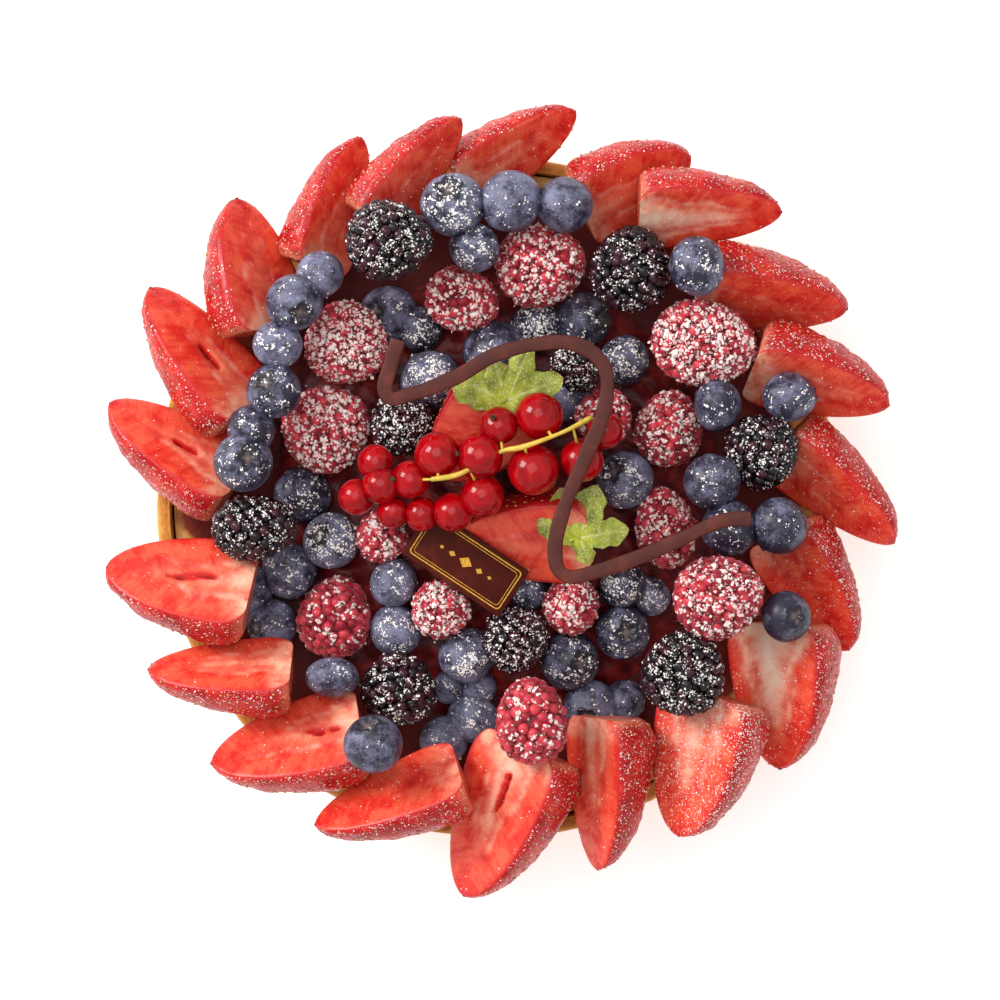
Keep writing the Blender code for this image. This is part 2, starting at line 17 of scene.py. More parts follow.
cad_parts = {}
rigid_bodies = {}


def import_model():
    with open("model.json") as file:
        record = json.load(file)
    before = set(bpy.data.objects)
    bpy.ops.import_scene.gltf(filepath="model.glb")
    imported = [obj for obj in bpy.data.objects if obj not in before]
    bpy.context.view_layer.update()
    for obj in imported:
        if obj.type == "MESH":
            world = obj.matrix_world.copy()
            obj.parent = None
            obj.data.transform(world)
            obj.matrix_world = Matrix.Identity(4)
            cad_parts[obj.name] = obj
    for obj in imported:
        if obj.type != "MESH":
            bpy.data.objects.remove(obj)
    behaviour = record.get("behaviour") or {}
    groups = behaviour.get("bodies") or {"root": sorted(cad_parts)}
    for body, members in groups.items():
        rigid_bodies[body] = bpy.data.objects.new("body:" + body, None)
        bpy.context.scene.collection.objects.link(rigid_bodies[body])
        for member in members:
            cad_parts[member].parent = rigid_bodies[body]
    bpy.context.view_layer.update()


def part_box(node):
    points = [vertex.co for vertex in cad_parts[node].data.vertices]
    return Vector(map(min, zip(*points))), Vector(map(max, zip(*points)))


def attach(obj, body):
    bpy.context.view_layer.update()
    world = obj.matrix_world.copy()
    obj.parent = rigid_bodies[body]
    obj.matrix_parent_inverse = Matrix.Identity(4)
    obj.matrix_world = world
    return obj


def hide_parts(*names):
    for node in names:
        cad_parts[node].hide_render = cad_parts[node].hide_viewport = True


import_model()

bl_info = {
    "name": "Fruit Crostata",
    "version": (1, 0, 0),
    "blender": (4, 5, 0),
    "location": "View3D > Sidebar > Crostata",
    "description": "Dresses a fruit crostata with fruit, pastry, chocolate and icing sugar",
    "category": "Add Mesh",
}

MM = 0.001

# Strawberry halves of the ring: tip x, y, stem end x, y, width seen from above, lean in degrees.
RING_STRAWBERRIES = (
    (21.0, 101.0, -4.0, 85.0, 19.0, 40),
    (51.0, 89.0, 28.0, 78.0, 23.0, 44),
    (74.5, 74.0, 43.5, 74.5, 20.5, 46),
    (91.5, 48.5, 59.0, 53.5, 22.5, 54),
    (102.5, 23.5, 73.0, 33.0, 22.5, 52),
    (104.0, -12.5, 79.5, 9.5, 21.0, 52),
    (92.0, -40.5, 77.5, -15.0, 22.5, 44),
    (73.5, -71.0, 74.0, -39.5, 28.0, 40),
    (47.0, -88.5, 55.0, -58.0, 28.5, 42),
    (26.0, -97.5, 27.5, -64.0, 22.0, 58),
    (-9.0, -104.0, 6.0, -71.0, 29.0, 42),
    (-47.5, -85.0, -15.5, -74.0, 20.5, 50),
    (-74.5, -69.0, -41.5, -62.0, 25.0, 42),
    (-91.0, -44.5, -60.0, -45.5, 20.0, 52),
    (-102.0, -18.0, -70.5, -24.0, 26.5, 38),
    (-101.5, 25.0, -74.0, 6.5, 23.0, 46),
    (-90.5, 55.0, -69.5, 27.0, 23.5, 46),
    (-67.5, 78.0, -61.5, 50.0, 25.0, 46),
    (-35.0, 94.0, -45.5, 66.0, 19.5, 48),
    (-9.0, 98.5, -28.5, 76.0, 18.5, 50),
)
# How each half is inside: paleness of the core, half width of the core as a share, start and end
# of a hollow slit along the berry (equal where it has none), share of icing sugar on it.
HALF_LOOKS = (
    (0.55, 0.42, 0.0, 0.0, 0.45),
    (0.50, 0.40, 0.0, 0.0, 0.40),
    (0.85, 0.50, 0.0, 0.0, 0.30),
    (0.35, 0.34, 0.0, 0.0, 0.45),
    (0.55, 0.44, 0.0, 0.0, 0.35),
    (0.40, 0.36, 0.0, 0.0, 0.60),
    (0.35, 0.36, 0.0, 0.0, 0.80),
    (1.00, 0.66, 0.0, 0.0, 0.80),
    (0.70, 0.52, 0.0, 0.0, 1.90),
    (0.60, 0.42, 0.0, 0.0, 0.45),
    (0.75, 0.44, 0.12, 0.48, 0.30),
    (0.15, 0.30, 0.0, 0.0, 0.45),
    (0.55, 0.42, 0.10, 0.40, 0.30),
    (0.60, 0.40, 0.0, 0.0, 0.35),
    (0.60, 0.40, 0.20, 0.62, 0.25),
    (0.60, 0.40, 0.25, 0.55, 0.25),
    (0.50, 0.34, 0.30, 0.60, 0.25),
    (0.50, 0.42, 0.0, 0.0, 0.25),
    (0.45, 0.36, 0.0, 0.0, 0.30),
    (0.45, 0.36, 0.0, 0.0, 0.35),
)
# The cut runs above the middle by this share of the radius at the stem end, the hidden stem end
# reaches this far inwards, and a berry bulges past the width that its neighbours leave showing.
CUT_RISE = 0.30
SHOULDER = 6.5
FULLNESS = 1.07
# Root of the leafy caps: how far along the berry from its stem end, and how high.
CAP_INWARD = 2.5
CAP_HEIGHT = 6.0
SEPAL_THICKNESS = 0.5

# Blueberries of the whole heap: x, y, diameter, rise above where it would rest, the way its
# crown points seen from above (None where it can't be seen), share of icing sugar on it.
HEAP_BLUEBERRIES = (
    (-20.0, 44.0, 12.5, 0.0, None, 1.2),
    (-28.5, 48.0, 15.5, 0.5, (-0.54, 0.10), 0.6),
    (-17.5, 30.5, 16.0, 1.5, None, 2.0),
    (-0.5, 38.0, 17.0, 1.5, None, 0.8),
    (10.5, 45.0, 13.5, 1.0, None, 2.6),
    (22.5, 46.5, 15.0, 0.5, (0.77, 0.03), 0.7),
    (33.5, 36.0, 13.5, 0.0, None, 1.8),
    (18.5, 26.0, 13.0, 0.0, None, 0.5),
    (33.5, 4.5, 15.5, 1.5, (-0.48, 0.34), 1.0),
    (-51.0, 0.5, 15.5, 0.0, None, 1.1),
    (-43.5, -11.5, 15.0, 1.5, (-0.49, 0.21), 1.8),
    (-54.5, -19.5, 15.0, 0.5, None, 0.9),
    (-65.0, -24.0, 13.0, 0.0, None, 0.5),
    (-59.0, -33.5, 13.5, 1.0, (-0.77, -0.15), 0.5),
    (-26.5, -35.0, 14.0, 1.0, None, 1.2),
    (-27.0, -22.5, 13.0, 1.0, None, 1.0),
    (-8.0, -41.5, 15.0, 1.5, None, 1.2),
    (-12.5, -50.0, 9.0, 0.5, None, 0.7),
    (-5.0, -50.0, 10.0, 0.0, None, 0.6),
    (-6.5, -58.0, 13.5, 0.5, None, 0.9),
    (-14.0, -64.0, 13.0, 0.0, None, 0.8),
    (19.0, -43.0, 15.5, 1.0, (0.44, -0.07), 0.9),
    (24.5, -55.0, 14.0, 4.0, (-0.19, -0.45), 0.5),
    (33.5, -53.5, 11.5, 0.0, None, 0.4),
    (33.0, -35.5, 14.5, 1.5, (0.14, 0.0), 0.9),
    (33.0, -23.0, 12.5, 1.0, None, 2.0),
    (40.5, -26.0, 10.5, 0.0, None, 1.4),
    (8.0, -24.5, 11.0, 0.0, None, 1.0),
)
# Rows of blueberries: x, y, diameter, height in the row, way of the crown, share of icing sugar.
BLUEBERRY_ROWS = {
    "blueberry_row_left": (
        (-46.0, 58.0, 12.5, 0.0, None, 0.6),
        (-52.5, 50.5, 15.0, 3.0, (0.24, -0.45), 0.6),
        (-57.0, 39.5, 13.0, 0.5, None, 0.9),
        (-58.0, 27.5, 14.5, 1.5, (-0.33, 0.36), 0.8),
        (-64.0, 17.5, 13.0, -1.0, None, 0.7),
        (-66.0, 9.0, 15.5, 2.5, (0.24, 0.17), 0.8),
    ),
    "blueberry_row_back": (
        (-11.5, 76.0, 17.0, 1.0, (-0.15, 0.55), 1.4),
        (3.5, 77.0, 16.5, 1.0, None, 0.6),
        (17.5, 76.0, 15.0, 0.0, None, 0.15),
        (-6.0, 65.0, 13.5, -1.0, None, 1.2),
    ),
    "blueberry_row_right": (
        (56.0, 4.0, 15.0, 1.0, None, 0.7),
        (60.5, -8.0, 15.0, 0.0, None, 0.7),
        (73.5, -7.5, 15.0, 0.5, None, 0.4),
    ),
}
# Blueberries that lie alone: x, y, width, depth, height, way of the crown, share of icing sugar.
LONE_BLUEBERRIES = {
    "blueberry_01": (52.0, 60.0, 15.0, 16.0, 14.5, None, 0.7),
    "blueberry_02": (76.0, 26.0, 14.5, 13.0, 13.0, None, 0.6),
    "blueberry_03": (75.0, -31.0, 13.0, 13.5, 12.5, (0.35, 0.02), 0.05),
    "blueberry_04": (57.5, 24.0, 12.5, 14.0, 13.0, None, 0.6),
    "blueberry_05": (-43.0, -47.0, 14.5, 10.5, 11.5, None, 0.6),
    "blueberry_06": (-32.0, -64.0, 15.5, 15.5, 14.0, (-0.2, 0.75), 0.1),
}
# Raspberries and bramble fruits: x, y, width, depth, height, turn in degrees, share of icing
# sugar on it, how far its tip points up (1) instead of along its length (0).
RASPBERRIES = {
    "raspberry_01": (11.5, 60.5, 24.0, 22.0, 19.0, 10, 1.1, 0.5),
    "raspberry_02": (-9.0, 51.5, 20.0, 17.0, 17.0, -20, 1.0, 0.0),
    "raspberry_03": (-39.5, 40.5, 22.0, 22.0, 20.0, 95, 1.5, 0.8),
    "raspberry_04": (-44.5, 18.0, 23.5, 23.0, 19.0, 30, 1.25, 0.3),
    "raspberry_05": (54.0, 40.0, 28.0, 22.5, 19.0, -10, 1.45, 0.2),
    "raspberry_06": (45.0, 18.0, 18.0, 20.5, 17.0, 80, 1.0, 0.1),
    "raspberry_07": (57.5, -26.0, 24.0, 22.0, 19.0, 15, 1.0, 0.4),
    "raspberry_08": (44.0, -8.0, 16.0, 22.0, 17.0, 100, 1.0, 0.1),
    "raspberry_09": (-42.5, -31.5, 19.5, 22.0, 18.0, 75, 0.4, 0.2),
    "raspberry_10": (9.0, -58.0, 19.0, 23.0, 18.0, 95, 0.45, 0.4),
    "raspberry_11": (-14.5, -29.5, 16.0, 15.5, 15.0, 0, 1.5, 0.6),
    "raspberry_12": (19.5, -28.5, 15.5, 15.0, 15.0, 40, 1.2, 0.6),
    "raspberry_13": (-30.0, -10.5, 14.0, 14.0, 13.0, 0, 1.0, 0.5),
    "raspberry_14": (28.0, 21.0, 15.0, 15.5, 14.0, 60, 0.8, 0.5),
}
DARK_BERRIES = {
    "bramble_01": (-28.0, 66.5, 23.0, 21.0, 19.0, 0, 0.8, 0.3),
    "bramble_02": (35.0, 59.5, 21.5, 23.0, 19.0, 80, 0.5, 0.5),
    "bramble_03": (69.0, 12.0, 20.0, 20.0, 17.0, 30, 0.8, 0.3),
    "bramble_04": (-63.0, -8.0, 23.0, 17.5, 17.0, 5, 0.6, 0.1),
    "bramble_05": (-25.5, -50.5, 20.5, 19.5, 17.0, -30, 0.6, 0.2),
    "bramble_06": (48.5, -45.5, 22.0, 23.0, 18.0, 70, 0.9, 0.5),
    "bramble_07": (-24.5, 19.0, 17.5, 17.0, 16.0, 0, 1.6, 0.4),
    "bramble_08": (5.0, -37.0, 18.0, 17.5, 16.0, 20, 1.5, 0.3),
    "bramble_09": (21.0, 34.5, 14.5, 14.5, 14.0, 50, 1.2, 0.4),
}
# Strawberries on top: stem end x, y, heading of the tip, length, width, lean, and the
# sepals of the leafy cap as heading, length, width, lift of the tip.
TOP_STRAWBERRIES = {
    "top_strawberry_left": (
        (4.5, 27.0, 228, 29.0, 25.0, -8),
        ((158, 16.0, 13.0, 0.5), (112, 11.0, 9.0, 1.5), (68, 15.5, 8.0, 2.0), (22, 15.5, 9.5, 0.5),
         (318, 7.0, 6.0, -1.0)),
    ),
    "top_strawberry_right": (
        (24.0, -10.5, 183, 36.0, 25.0, -22),
        ((158, 12.0, 9.0, 0.5), (112, 14.0, 11.0, 1.5), (72, 14.5, 9.5, 2.0), (10, 13.0, 9.0, 0.5),
         (290, 7.5, 6.0, -1.0)),
    ),
}
# Redcurrants of the sprig: x, y, diameter, height in the sprig, way of the dried flower end.
CURRANTS = (
    (-15.5, 11.0, 12.0, 0.0, None),
    (-22.5, 4.5, 10.0, -2.0, (-0.85, 0.0)),
    (-4.5, 10.5, 12.5, 0.5, (-0.92, 0.1)),
    (0.5, 18.5, 10.0, 0.5, (-0.28, 0.38)),
    (11.0, 21.0, 12.5, 1.0, None),
    (9.5, 7.0, 13.5, 0.5, None),
    (-3.8, 0.3, 11.5, -1.0, None),
    (-11.5, -4.0, 10.5, -3.0, None),
    (-19.5, -4.5, 9.0, -4.0, None),
    (-31.5, 9.0, 9.5, -4.0, None),
    (-36.5, 0.0, 9.5, -5.0, (0.8, -0.1)),
    (-30.0, 3.0, 10.0, -2.5, None),
    (22.0, 9.5, 11.5, -1.0, None),
    (28.0, 17.0, 9.5, -2.0, None),
    (-27.0, -4.0, 8.5, -5.0, None),
)
SPRIG_STEM = (
    (-17.0, 4.5, 3.5), (-9.5, 6.0, 4.5), (0.5, 11.5, 3.5), (7.0, 13.0, 6.0), (16.5, 16.5, 5.5),
    (24.5, 20.5, 2.5),
)
# Chocolate squiggle, middle line of its flat top seen from above.
RIBBON_ROUTE = (
    (-25.5, 40.5), (-27.5, 34.0), (-29.0, 28.0), (-27.0, 25.3), (-22.5, 26.5), (-17.5, 28.0),
    (-9.5, 31.5), (-2.0, 36.0), (4.5, 38.3), (10.5, 39.5), (16.5, 40.0), (21.5, 39.0),
    (25.5, 36.5), (28.0, 33.0), (28.5, 28.5), (28.0, 24.0), (26.5, 18.5), (24.0, 13.0),
    (21.5, 7.0), (19.0, 1.5), (17.0, -4.0), (15.5, -9.5), (15.0, -14.5), (16.0, -19.0),
    (19.5, -20.7), (26.0, -19.2), (33.0, -17.0), (40.0, -14.2), (47.0, -11.2), (54.0, -7.8),
    (60.0, -5.8), (65.5, -5.8),
)
RIBBON_WIDTH = 3.8
RIBBON_THICKNESS = 2.4
RIBBON_BEVEL = 0.45
# Chocolate plaque: middle, size, heading and pitch in degrees, then its lozenges as x and size.
PLAQUE_CENTRE = (-8.2, -17.0)
PLAQUE_SIZE = (30.6, 14.4, 1.8)
PLAQUE_HEADING = 146.5
PLAQUE_PITCH = -4.0
PLAQUE_LOZENGES = ((0.0, 1.5), (-4.2, 0.8), (4.2, 0.8), (-7.4, 0.5), (7.4, 0.5))

CUSTARD_LEVEL = 19.5
# The low core under the heap, how deep a berry sinks into it as a share of its size, and the
# clearance that each piece keeps from what carries it.
CORE_RADIUS = 59.0
CORE_RISE = 12.0
SUNK = 0.30
GAP = 0.3
# Icing sugar is sieved over a disc of this radius, from this height.
SIEVE_RADIUS = 106.0
SIEVE_HEIGHT = 90.0
# Kinds of fruit by the start of their pieces' names, and how coarse sugar looks on each.
FRUIT_KINDS = {
    "half_strawberry": "half", "ripe_raspberry": "raspberry", "ripe_bramble": "bramble",
    "heap_of": "blueberry", "row_of": "blueberry", "whole_blueberry": "blueberry",
    "leafy_cap": "leaf", "body_of": "top",
}
COARSENESS = {"raspberry": 1.00, "bramble": 0.58, "blueberry": 0.66, "half": 0.95, "leaf": 1.0, "top": 1.0}
# The photograph shows this width at the height of the fruit, and its middle is a little off.
FIELD = 262.0
FIELD_CENTRE = (0.8, -0.8, 34.0)
LENS = 300.0
SENSOR = 36.0
TABLE_HALF = 4000.0
# Soft light: brightness of the studio's air, then each box's place and width in metres, and watts.
AIR = 0.70
SOFTBOXES = {
    "key_softbox": ((-1.08, 0.66, 0.86), 0.62, 18.0),
    "top_softbox": ((-0.2, 0.35, 1.6), 1.2, 9.0),
}


def linear(code):
    """sRGB hex to linear red, green, blue and 1."""
    parts = [int(code[place:place + 2], 16) / 255.0 for place in (0, 2, 4)]
    return (*(part / 12.92 if part <= 0.04045 else ((part + 0.055) / 1.055) ** 2.4 for part in parts), 1.0)


class CrostataSizes(PropertyGroup):
    """Sizes that change how the fruit and the sugar look."""

    raspberry_drupelet: FloatProperty(
        name="Raspberry drupelet", description="Distance between the drupelets of a raspberry",
        default=0.0027, min=0.002, max=0.006, unit="LENGTH")
    bramble_drupelet: FloatProperty(
        name="Bramble drupelet", description="Distance between the drupelets of a bramble fruit",
        default=0.0029, min=0.002, max=0.006, unit="LENGTH")
    achene_length: FloatProperty(
        name="Strawberry seed", description="Length of one seed on a strawberry's skin",
        default=0.0009, min=0.0005, max=0.002, unit="LENGTH")
    sugar_grain: FloatProperty(
        name="Sugar grain", description="Width of a loose grain of icing sugar",
        default=0.00045, min=0.0001, max=0.001, unit="LENGTH")
    sugar_clump: FloatProperty(
        name="Sugar clump", description="Width of an average clump of icing sugar",
        default=0.00085, min=0.0003, max=0.002, unit="LENGTH")
    sugar_falls: IntProperty(
        name="Sugar falls", description="How many grains fall from the sieve over the whole tart",
        default=200000, min=0, max=300000)


class CrostataColours(PropertyGroup):
    """Main colours of the finishes."""

    pastry: FloatVectorProperty(
        name="Pastry", description="Baked shortcrust", subtype="COLOR", size=4, min=0.0, max=1.0,
        default=linear("D9953F"))
    custard: FloatVectorProperty(
        name="Custard", description="Set custard", subtype="COLOR", size=4, min=0.0, max=1.0,
        default=linear("D9A85C"))
    strawberry_flesh: FloatVectorProperty(
        name="Strawberry flesh", description="Cut strawberry between core and skin", subtype="COLOR",
        size=4, min=0.0, max=1.0, default=linear("D93024"))
    strawberry_skin: FloatVectorProperty(
        name="Strawberry skin", description="Ripe strawberry skin", subtype="COLOR", size=4,
        min=0.0, max=1.0, default=linear("BE1818"))
    blueberry: FloatVectorProperty(
        name="Blueberry", description="Blueberry skin under its bloom", subtype="COLOR", size=4,
        min=0.0, max=1.0, default=linear("2A2536"))
    raspberry: FloatVectorProperty(
        name="Raspberry", description="Raspberry drupelets", subtype="COLOR", size=4,
        min=0.0, max=1.0, default=linear("A2142A"))
    bramble: FloatVectorProperty(
        name="Bramble", description="Bramble drupelets", subtype="COLOR", size=4,
        min=0.0, max=1.0, default=linear("1C1218"))
    redcurrant: FloatVectorProperty(
        name="Redcurrant", description="Redcurrant skin", subtype="COLOR", size=4,
        min=0.0, max=1.0, default=linear("A8000C"))
    chocolate: FloatVectorProperty(
        name="Chocolate", description="Set dark chocolate", subtype="COLOR", size=4,
        min=0.0, max=1.0, default=linear("501C13"))
    sugar: FloatVectorProperty(
        name="Icing sugar", description="Icing sugar", subtype="COLOR", size=4,
        min=0.0, max=1.0, default=linear("F4EEE8"))


def add(tree, kind, settings=None, links=None):
    """Add a node. Settings are inputs or properties, links are inputs, each by name or number.

    A link comes from a socket, or from a node's first output.
    """
    made = tree.nodes.new("ShaderNode" + kind)
    for key, value in (settings or {}).items():
        if key == "stops":
            ramp = made.color_ramp
            while len(ramp.elements) < len(value):
                ramp.elements.new(0.5)
            for element, (place, colour) in zip(ramp.elements, value):
                element.position = place
                element.color = colour
        elif isinstance(key, int) or key in made.inputs:
            made.inputs[key].default_value = value
        else:
            setattr(made, key, value)
    for key, source in (links or {}).items():
        socket = source.outputs[0] if isinstance(source, bpy.types.Node) else source
        tree.links.new(socket, made.inputs[key])
    return made


def start_material(name, **shader_settings):
    """New material with its Principled shader set. Returns material, tree and shader."""
    made = bpy.data.materials.new(name)
    made.use_nodes = True
    tree = made.node_tree
    shader = tree.nodes["Principled BSDF"]
    for key, value in shader_settings.items():
        shader.inputs[key.replace("_", " ")].default_value = value
    return made, tree, shader


def make_mesh(name, points, faces, surface, values=None, smooth=True, slots=None):
    """Object from points in millimetres and faces, with named point values for its material."""
    mesh = bpy.data.meshes.new(name)
    mesh.from_pydata(np.asarray(points, dtype=float) * MM, [], faces)
    for key, data in (values or {}).items():
        data = np.asarray(data, dtype=np.float32)
        if data.ndim == 2:
            mesh.attributes.new(key, "FLOAT_VECTOR", "POINT").data.foreach_set("vector", data.ravel())
        else:
            mesh.attributes.new(key, "FLOAT", "POINT").data.foreach_set("value", data)
    surfaces = surface if isinstance(surface, (list, tuple)) else [surface]
    for item in surfaces:
        mesh.materials.append(item)
    if slots is not None:
        mesh.polygons.foreach_set("material_index", np.asarray(slots, dtype=np.int32))
    if smooth:
        mesh.shade_smooth()
    mesh.update()
    made = bpy.data.objects.new(name, mesh)
    bpy.context.scene.collection.objects.link(made)
    return made


def grid_faces(rows, columns, closed=False, start=0):
    """Quads of a grid of rows x columns points, closed round its columns where asked."""
    row = np.arange(rows - 1)[:, None]
    column = np.arange(columns if closed else columns - 1)[None, :]
    after = (column + 1) % columns
    corners = (row * columns + column, row * columns + after,
               (row + 1) * columns + after, (row + 1) * columns + column)
    return np.stack(np.broadcast_arrays(*corners), axis=-1).reshape(-1, 4) + start


def ripple(points, wavelength, seed, waves=7):
    """Smooth uneven value about -1 to 1 at each point, as of a surface shaped by hand."""
    source = np.random.default_rng(seed)
    total = np.zeros(len(points))
    for _ in range(waves):
        direction = source.normal(size=3)
        direction /= np.linalg.norm(direction)
        pace = math.tau / (wavelength * source.uniform(0.7, 1.5))
        total += np.sin(points @ direction * pace + source.uniform(0.0, math.tau))
    return total / waves ** 0.5 / 1.2


def box_mm(node):
    """Lowest and highest corner of a solid in millimetres."""
    low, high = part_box(node)
    return np.array(low) / MM, np.array(high) / MM


def turn_matrix(x=0.0, y=0.0, z=0.0):
    """Rotation by Euler angles in radians, X first."""
    cx, sx, cy, sy, cz, sz = math.cos(x), math.sin(x), math.cos(y), math.sin(y), math.cos(z), math.sin(z)
    about_x = np.array(((1, 0, 0), (0, cx, -sx), (0, sx, cx)))
    about_y = np.array(((cy, 0, sy), (0, 1, 0), (-sy, 0, cy)))
    about_z = np.array(((cz, -sz, 0), (sz, cz, 0), (0, 0, 1)))
    return about_z @ about_y @ about_x


def turn_to(direction):
    """Rotation that takes +Z to a direction."""
    direction = np.asarray(direction, dtype=float) / np.linalg.norm(direction)
    return np.array(Vector((0.0, 0.0, 1.0)).rotation_difference(Vector(direction)).to_matrix())


def stand_for(piece, slot, *nodes):
    """The piece moves with the tart and stands for its nodes, which it hides; the slot name is not used."""
    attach(piece, "root")
    if nodes:
        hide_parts(*nodes)


class Heap:
    """Points and faces of many small parts that become one mesh."""

    def __init__(self):
        self.points, self.faces, self.values, self.count = [], [], {}, 0

    def put(self, points, faces, **values):
        """Add one part with its faces and its point values."""
        if isinstance(faces, np.ndarray):
            self.faces.extend((faces + self.count).tolist())
        else:
            self.faces.extend([corner + self.count for corner in face] for face in faces)
        self.points.append(points)
        for key, value in values.items():
            self.values.setdefault(key, []).append(value)
        self.count += len(points)

    def make(self, name, surface, **options):
        """Make the mesh of all parts."""
        values = {key: np.concatenate(parts) for key, parts in self.values.items()}
        return make_mesh(name, np.concatenate(self.points), self.faces, surface, values, **options)


def millimetre_coordinates(tree):
    """Object coordinates in millimetres, so each pattern's scale is a real size."""
    place = add(tree, "TexCoord")
    return add(tree, "VectorMath", {"operation": "SCALE", "Scale": 1.0 / MM},
               {0: place.outputs["Object"]}).outputs[0]


def baked_shortcrust():
    """Shortcrust pastry, rolled and baked: matt, sandy crumb, browner where it bulges."""
    colours = bpy.context.scene.crostata_colours
    made, tree, shader = start_material("baked_shortcrust", Roughness=0.78, IOR=1.45)
    where = millimetre_coordinates(tree)
    bake = add(tree, "TexNoise", {"Scale": 1 / 22.0, "Detail": 5.0, "Roughness": 0.6}, {"Vector": where})
    crumb = add(tree, "TexNoise", {"Scale": 1 / 1.1, "Detail": 4.0, "Roughness": 0.7}, {"Vector": where})
    pits = add(tree, "TexVoronoi", {"Scale": 1 / 1.6, "Randomness": 1.0}, {"Vector": where})
    brown = add(tree, "Attribute", {"attribute_name": "brown"})
    amount = add(tree, "Math", {"operation": "ADD"}, {0: bake, 1: brown.outputs["Fac"]})
    tone = add(tree, "ValToRGB", {"stops": (
        (0.30, linear("EBC27C")), (0.50, tuple(colours.pastry)), (0.72, linear("B8702B")),
        (0.95, linear("8A4A1C")))}, {"Fac": amount})
    specks = add(tree, "MapRange", {1: 0.42, 2: 0.70, 3: 0.84, 4: 1.10}, {0: crumb})
    shade = add(tree, "HueSaturation", {}, {"Color": tone, "Value": specks})
    tree.links.new(shade.outputs[0], shader.inputs["Base Color"])
    depth = add(tree, "Math", {"operation": "MULTIPLY_ADD", 1: 0.5}, {0: pits.outputs["Distance"], 2: crumb})
    relief = add(tree, "Bump", {"Strength": 0.7, "Distance": 0.0004}, {"Height": depth})
    tree.links.new(relief.outputs[0], shader.inputs["Normal"])
    return made


def set_custard():
    """Baked custard under a thin glaze: yellow cream, painted dark red-brown inside the ring as the shade
    between the fruit.
    """
    colours = bpy.context.scene.crostata_colours
    made, tree, shader = start_material("set_custard", Roughness=0.45, IOR=1.40, Specular_IOR_Level=0.2,
                                        Subsurface_Weight=0.35, Subsurface_Scale=0.003,
                                        Subsurface_Radius=(1.0, 0.6, 0.25))
    where = millimetre_coordinates(tree)
    blotches = add(tree, "TexNoise", {"Scale": 1 / 14.0, "Detail": 5.0}, {"Vector": where})
    fine = add(tree, "TexNoise", {"Scale": 1 / 2.2, "Detail": 3.0}, {"Vector": where})
    soaked = add(tree, "Attribute", {"attribute_name": "soaked"})
    gap_shade = add(tree, "Math", {"operation": "ADD"}, {0: blotches, 1: soaked.outputs["Fac"]})
    # Painted shade: the dark red-brown stops are reached only where the value is lifted inside the ring; they
    # stand for the shade between the fruit.
    tone = add(tree, "ValToRGB", {"stops": (
        (0.40, linear("E3BC78")), (0.58, tuple(colours.custard)), (0.74, linear("7A2C18")),
        (0.92, linear("5A120E")))}, {"Fac": gap_shade})
    tree.links.new(tone.outputs[0], shader.inputs["Base Color"])
    relief = add(tree, "Bump", {"Strength": 0.25, "Distance": 0.0005}, {"Height": fine})
    tree.links.new(relief.outputs[0], shader.inputs["Normal"])
    return made


def berry_juice():
    """Crushed berries and juice under the heap: wet, dark red-brown as painted shade for the gaps between the
    berries, and nearly black in its pits as painted shade.
    """
    made, tree, shader = start_material("berry_juice", Roughness=0.34, IOR=1.36, Specular_IOR_Level=0.3)
    where = millimetre_coordinates(tree)
    lumps_and_pit_shade = add(tree, "TexNoise", {"Scale": 1 / 5.0, "Detail": 4.0}, {"Vector": where})
    # Painted shade: the layer is dark red-brown to stand for the shade between the berries, and darkest in
    # the low pits of its lumps.
    tone = add(tree, "ValToRGB", {"stops": (
        (0.35, linear("420E12")), (0.55, linear("701A1C")), (0.75, linear("9C322C")))}, {"Fac": lumps_and_pit_shade})
    tree.links.new(tone.outputs[0], shader.inputs["Base Color"])
    relief = add(tree, "Bump", {"Strength": 0.6, "Distance": 0.001}, {"Height": lumps_and_pit_shade})
    tree.links.new(relief.outputs[0], shader.inputs["Normal"])
    return made


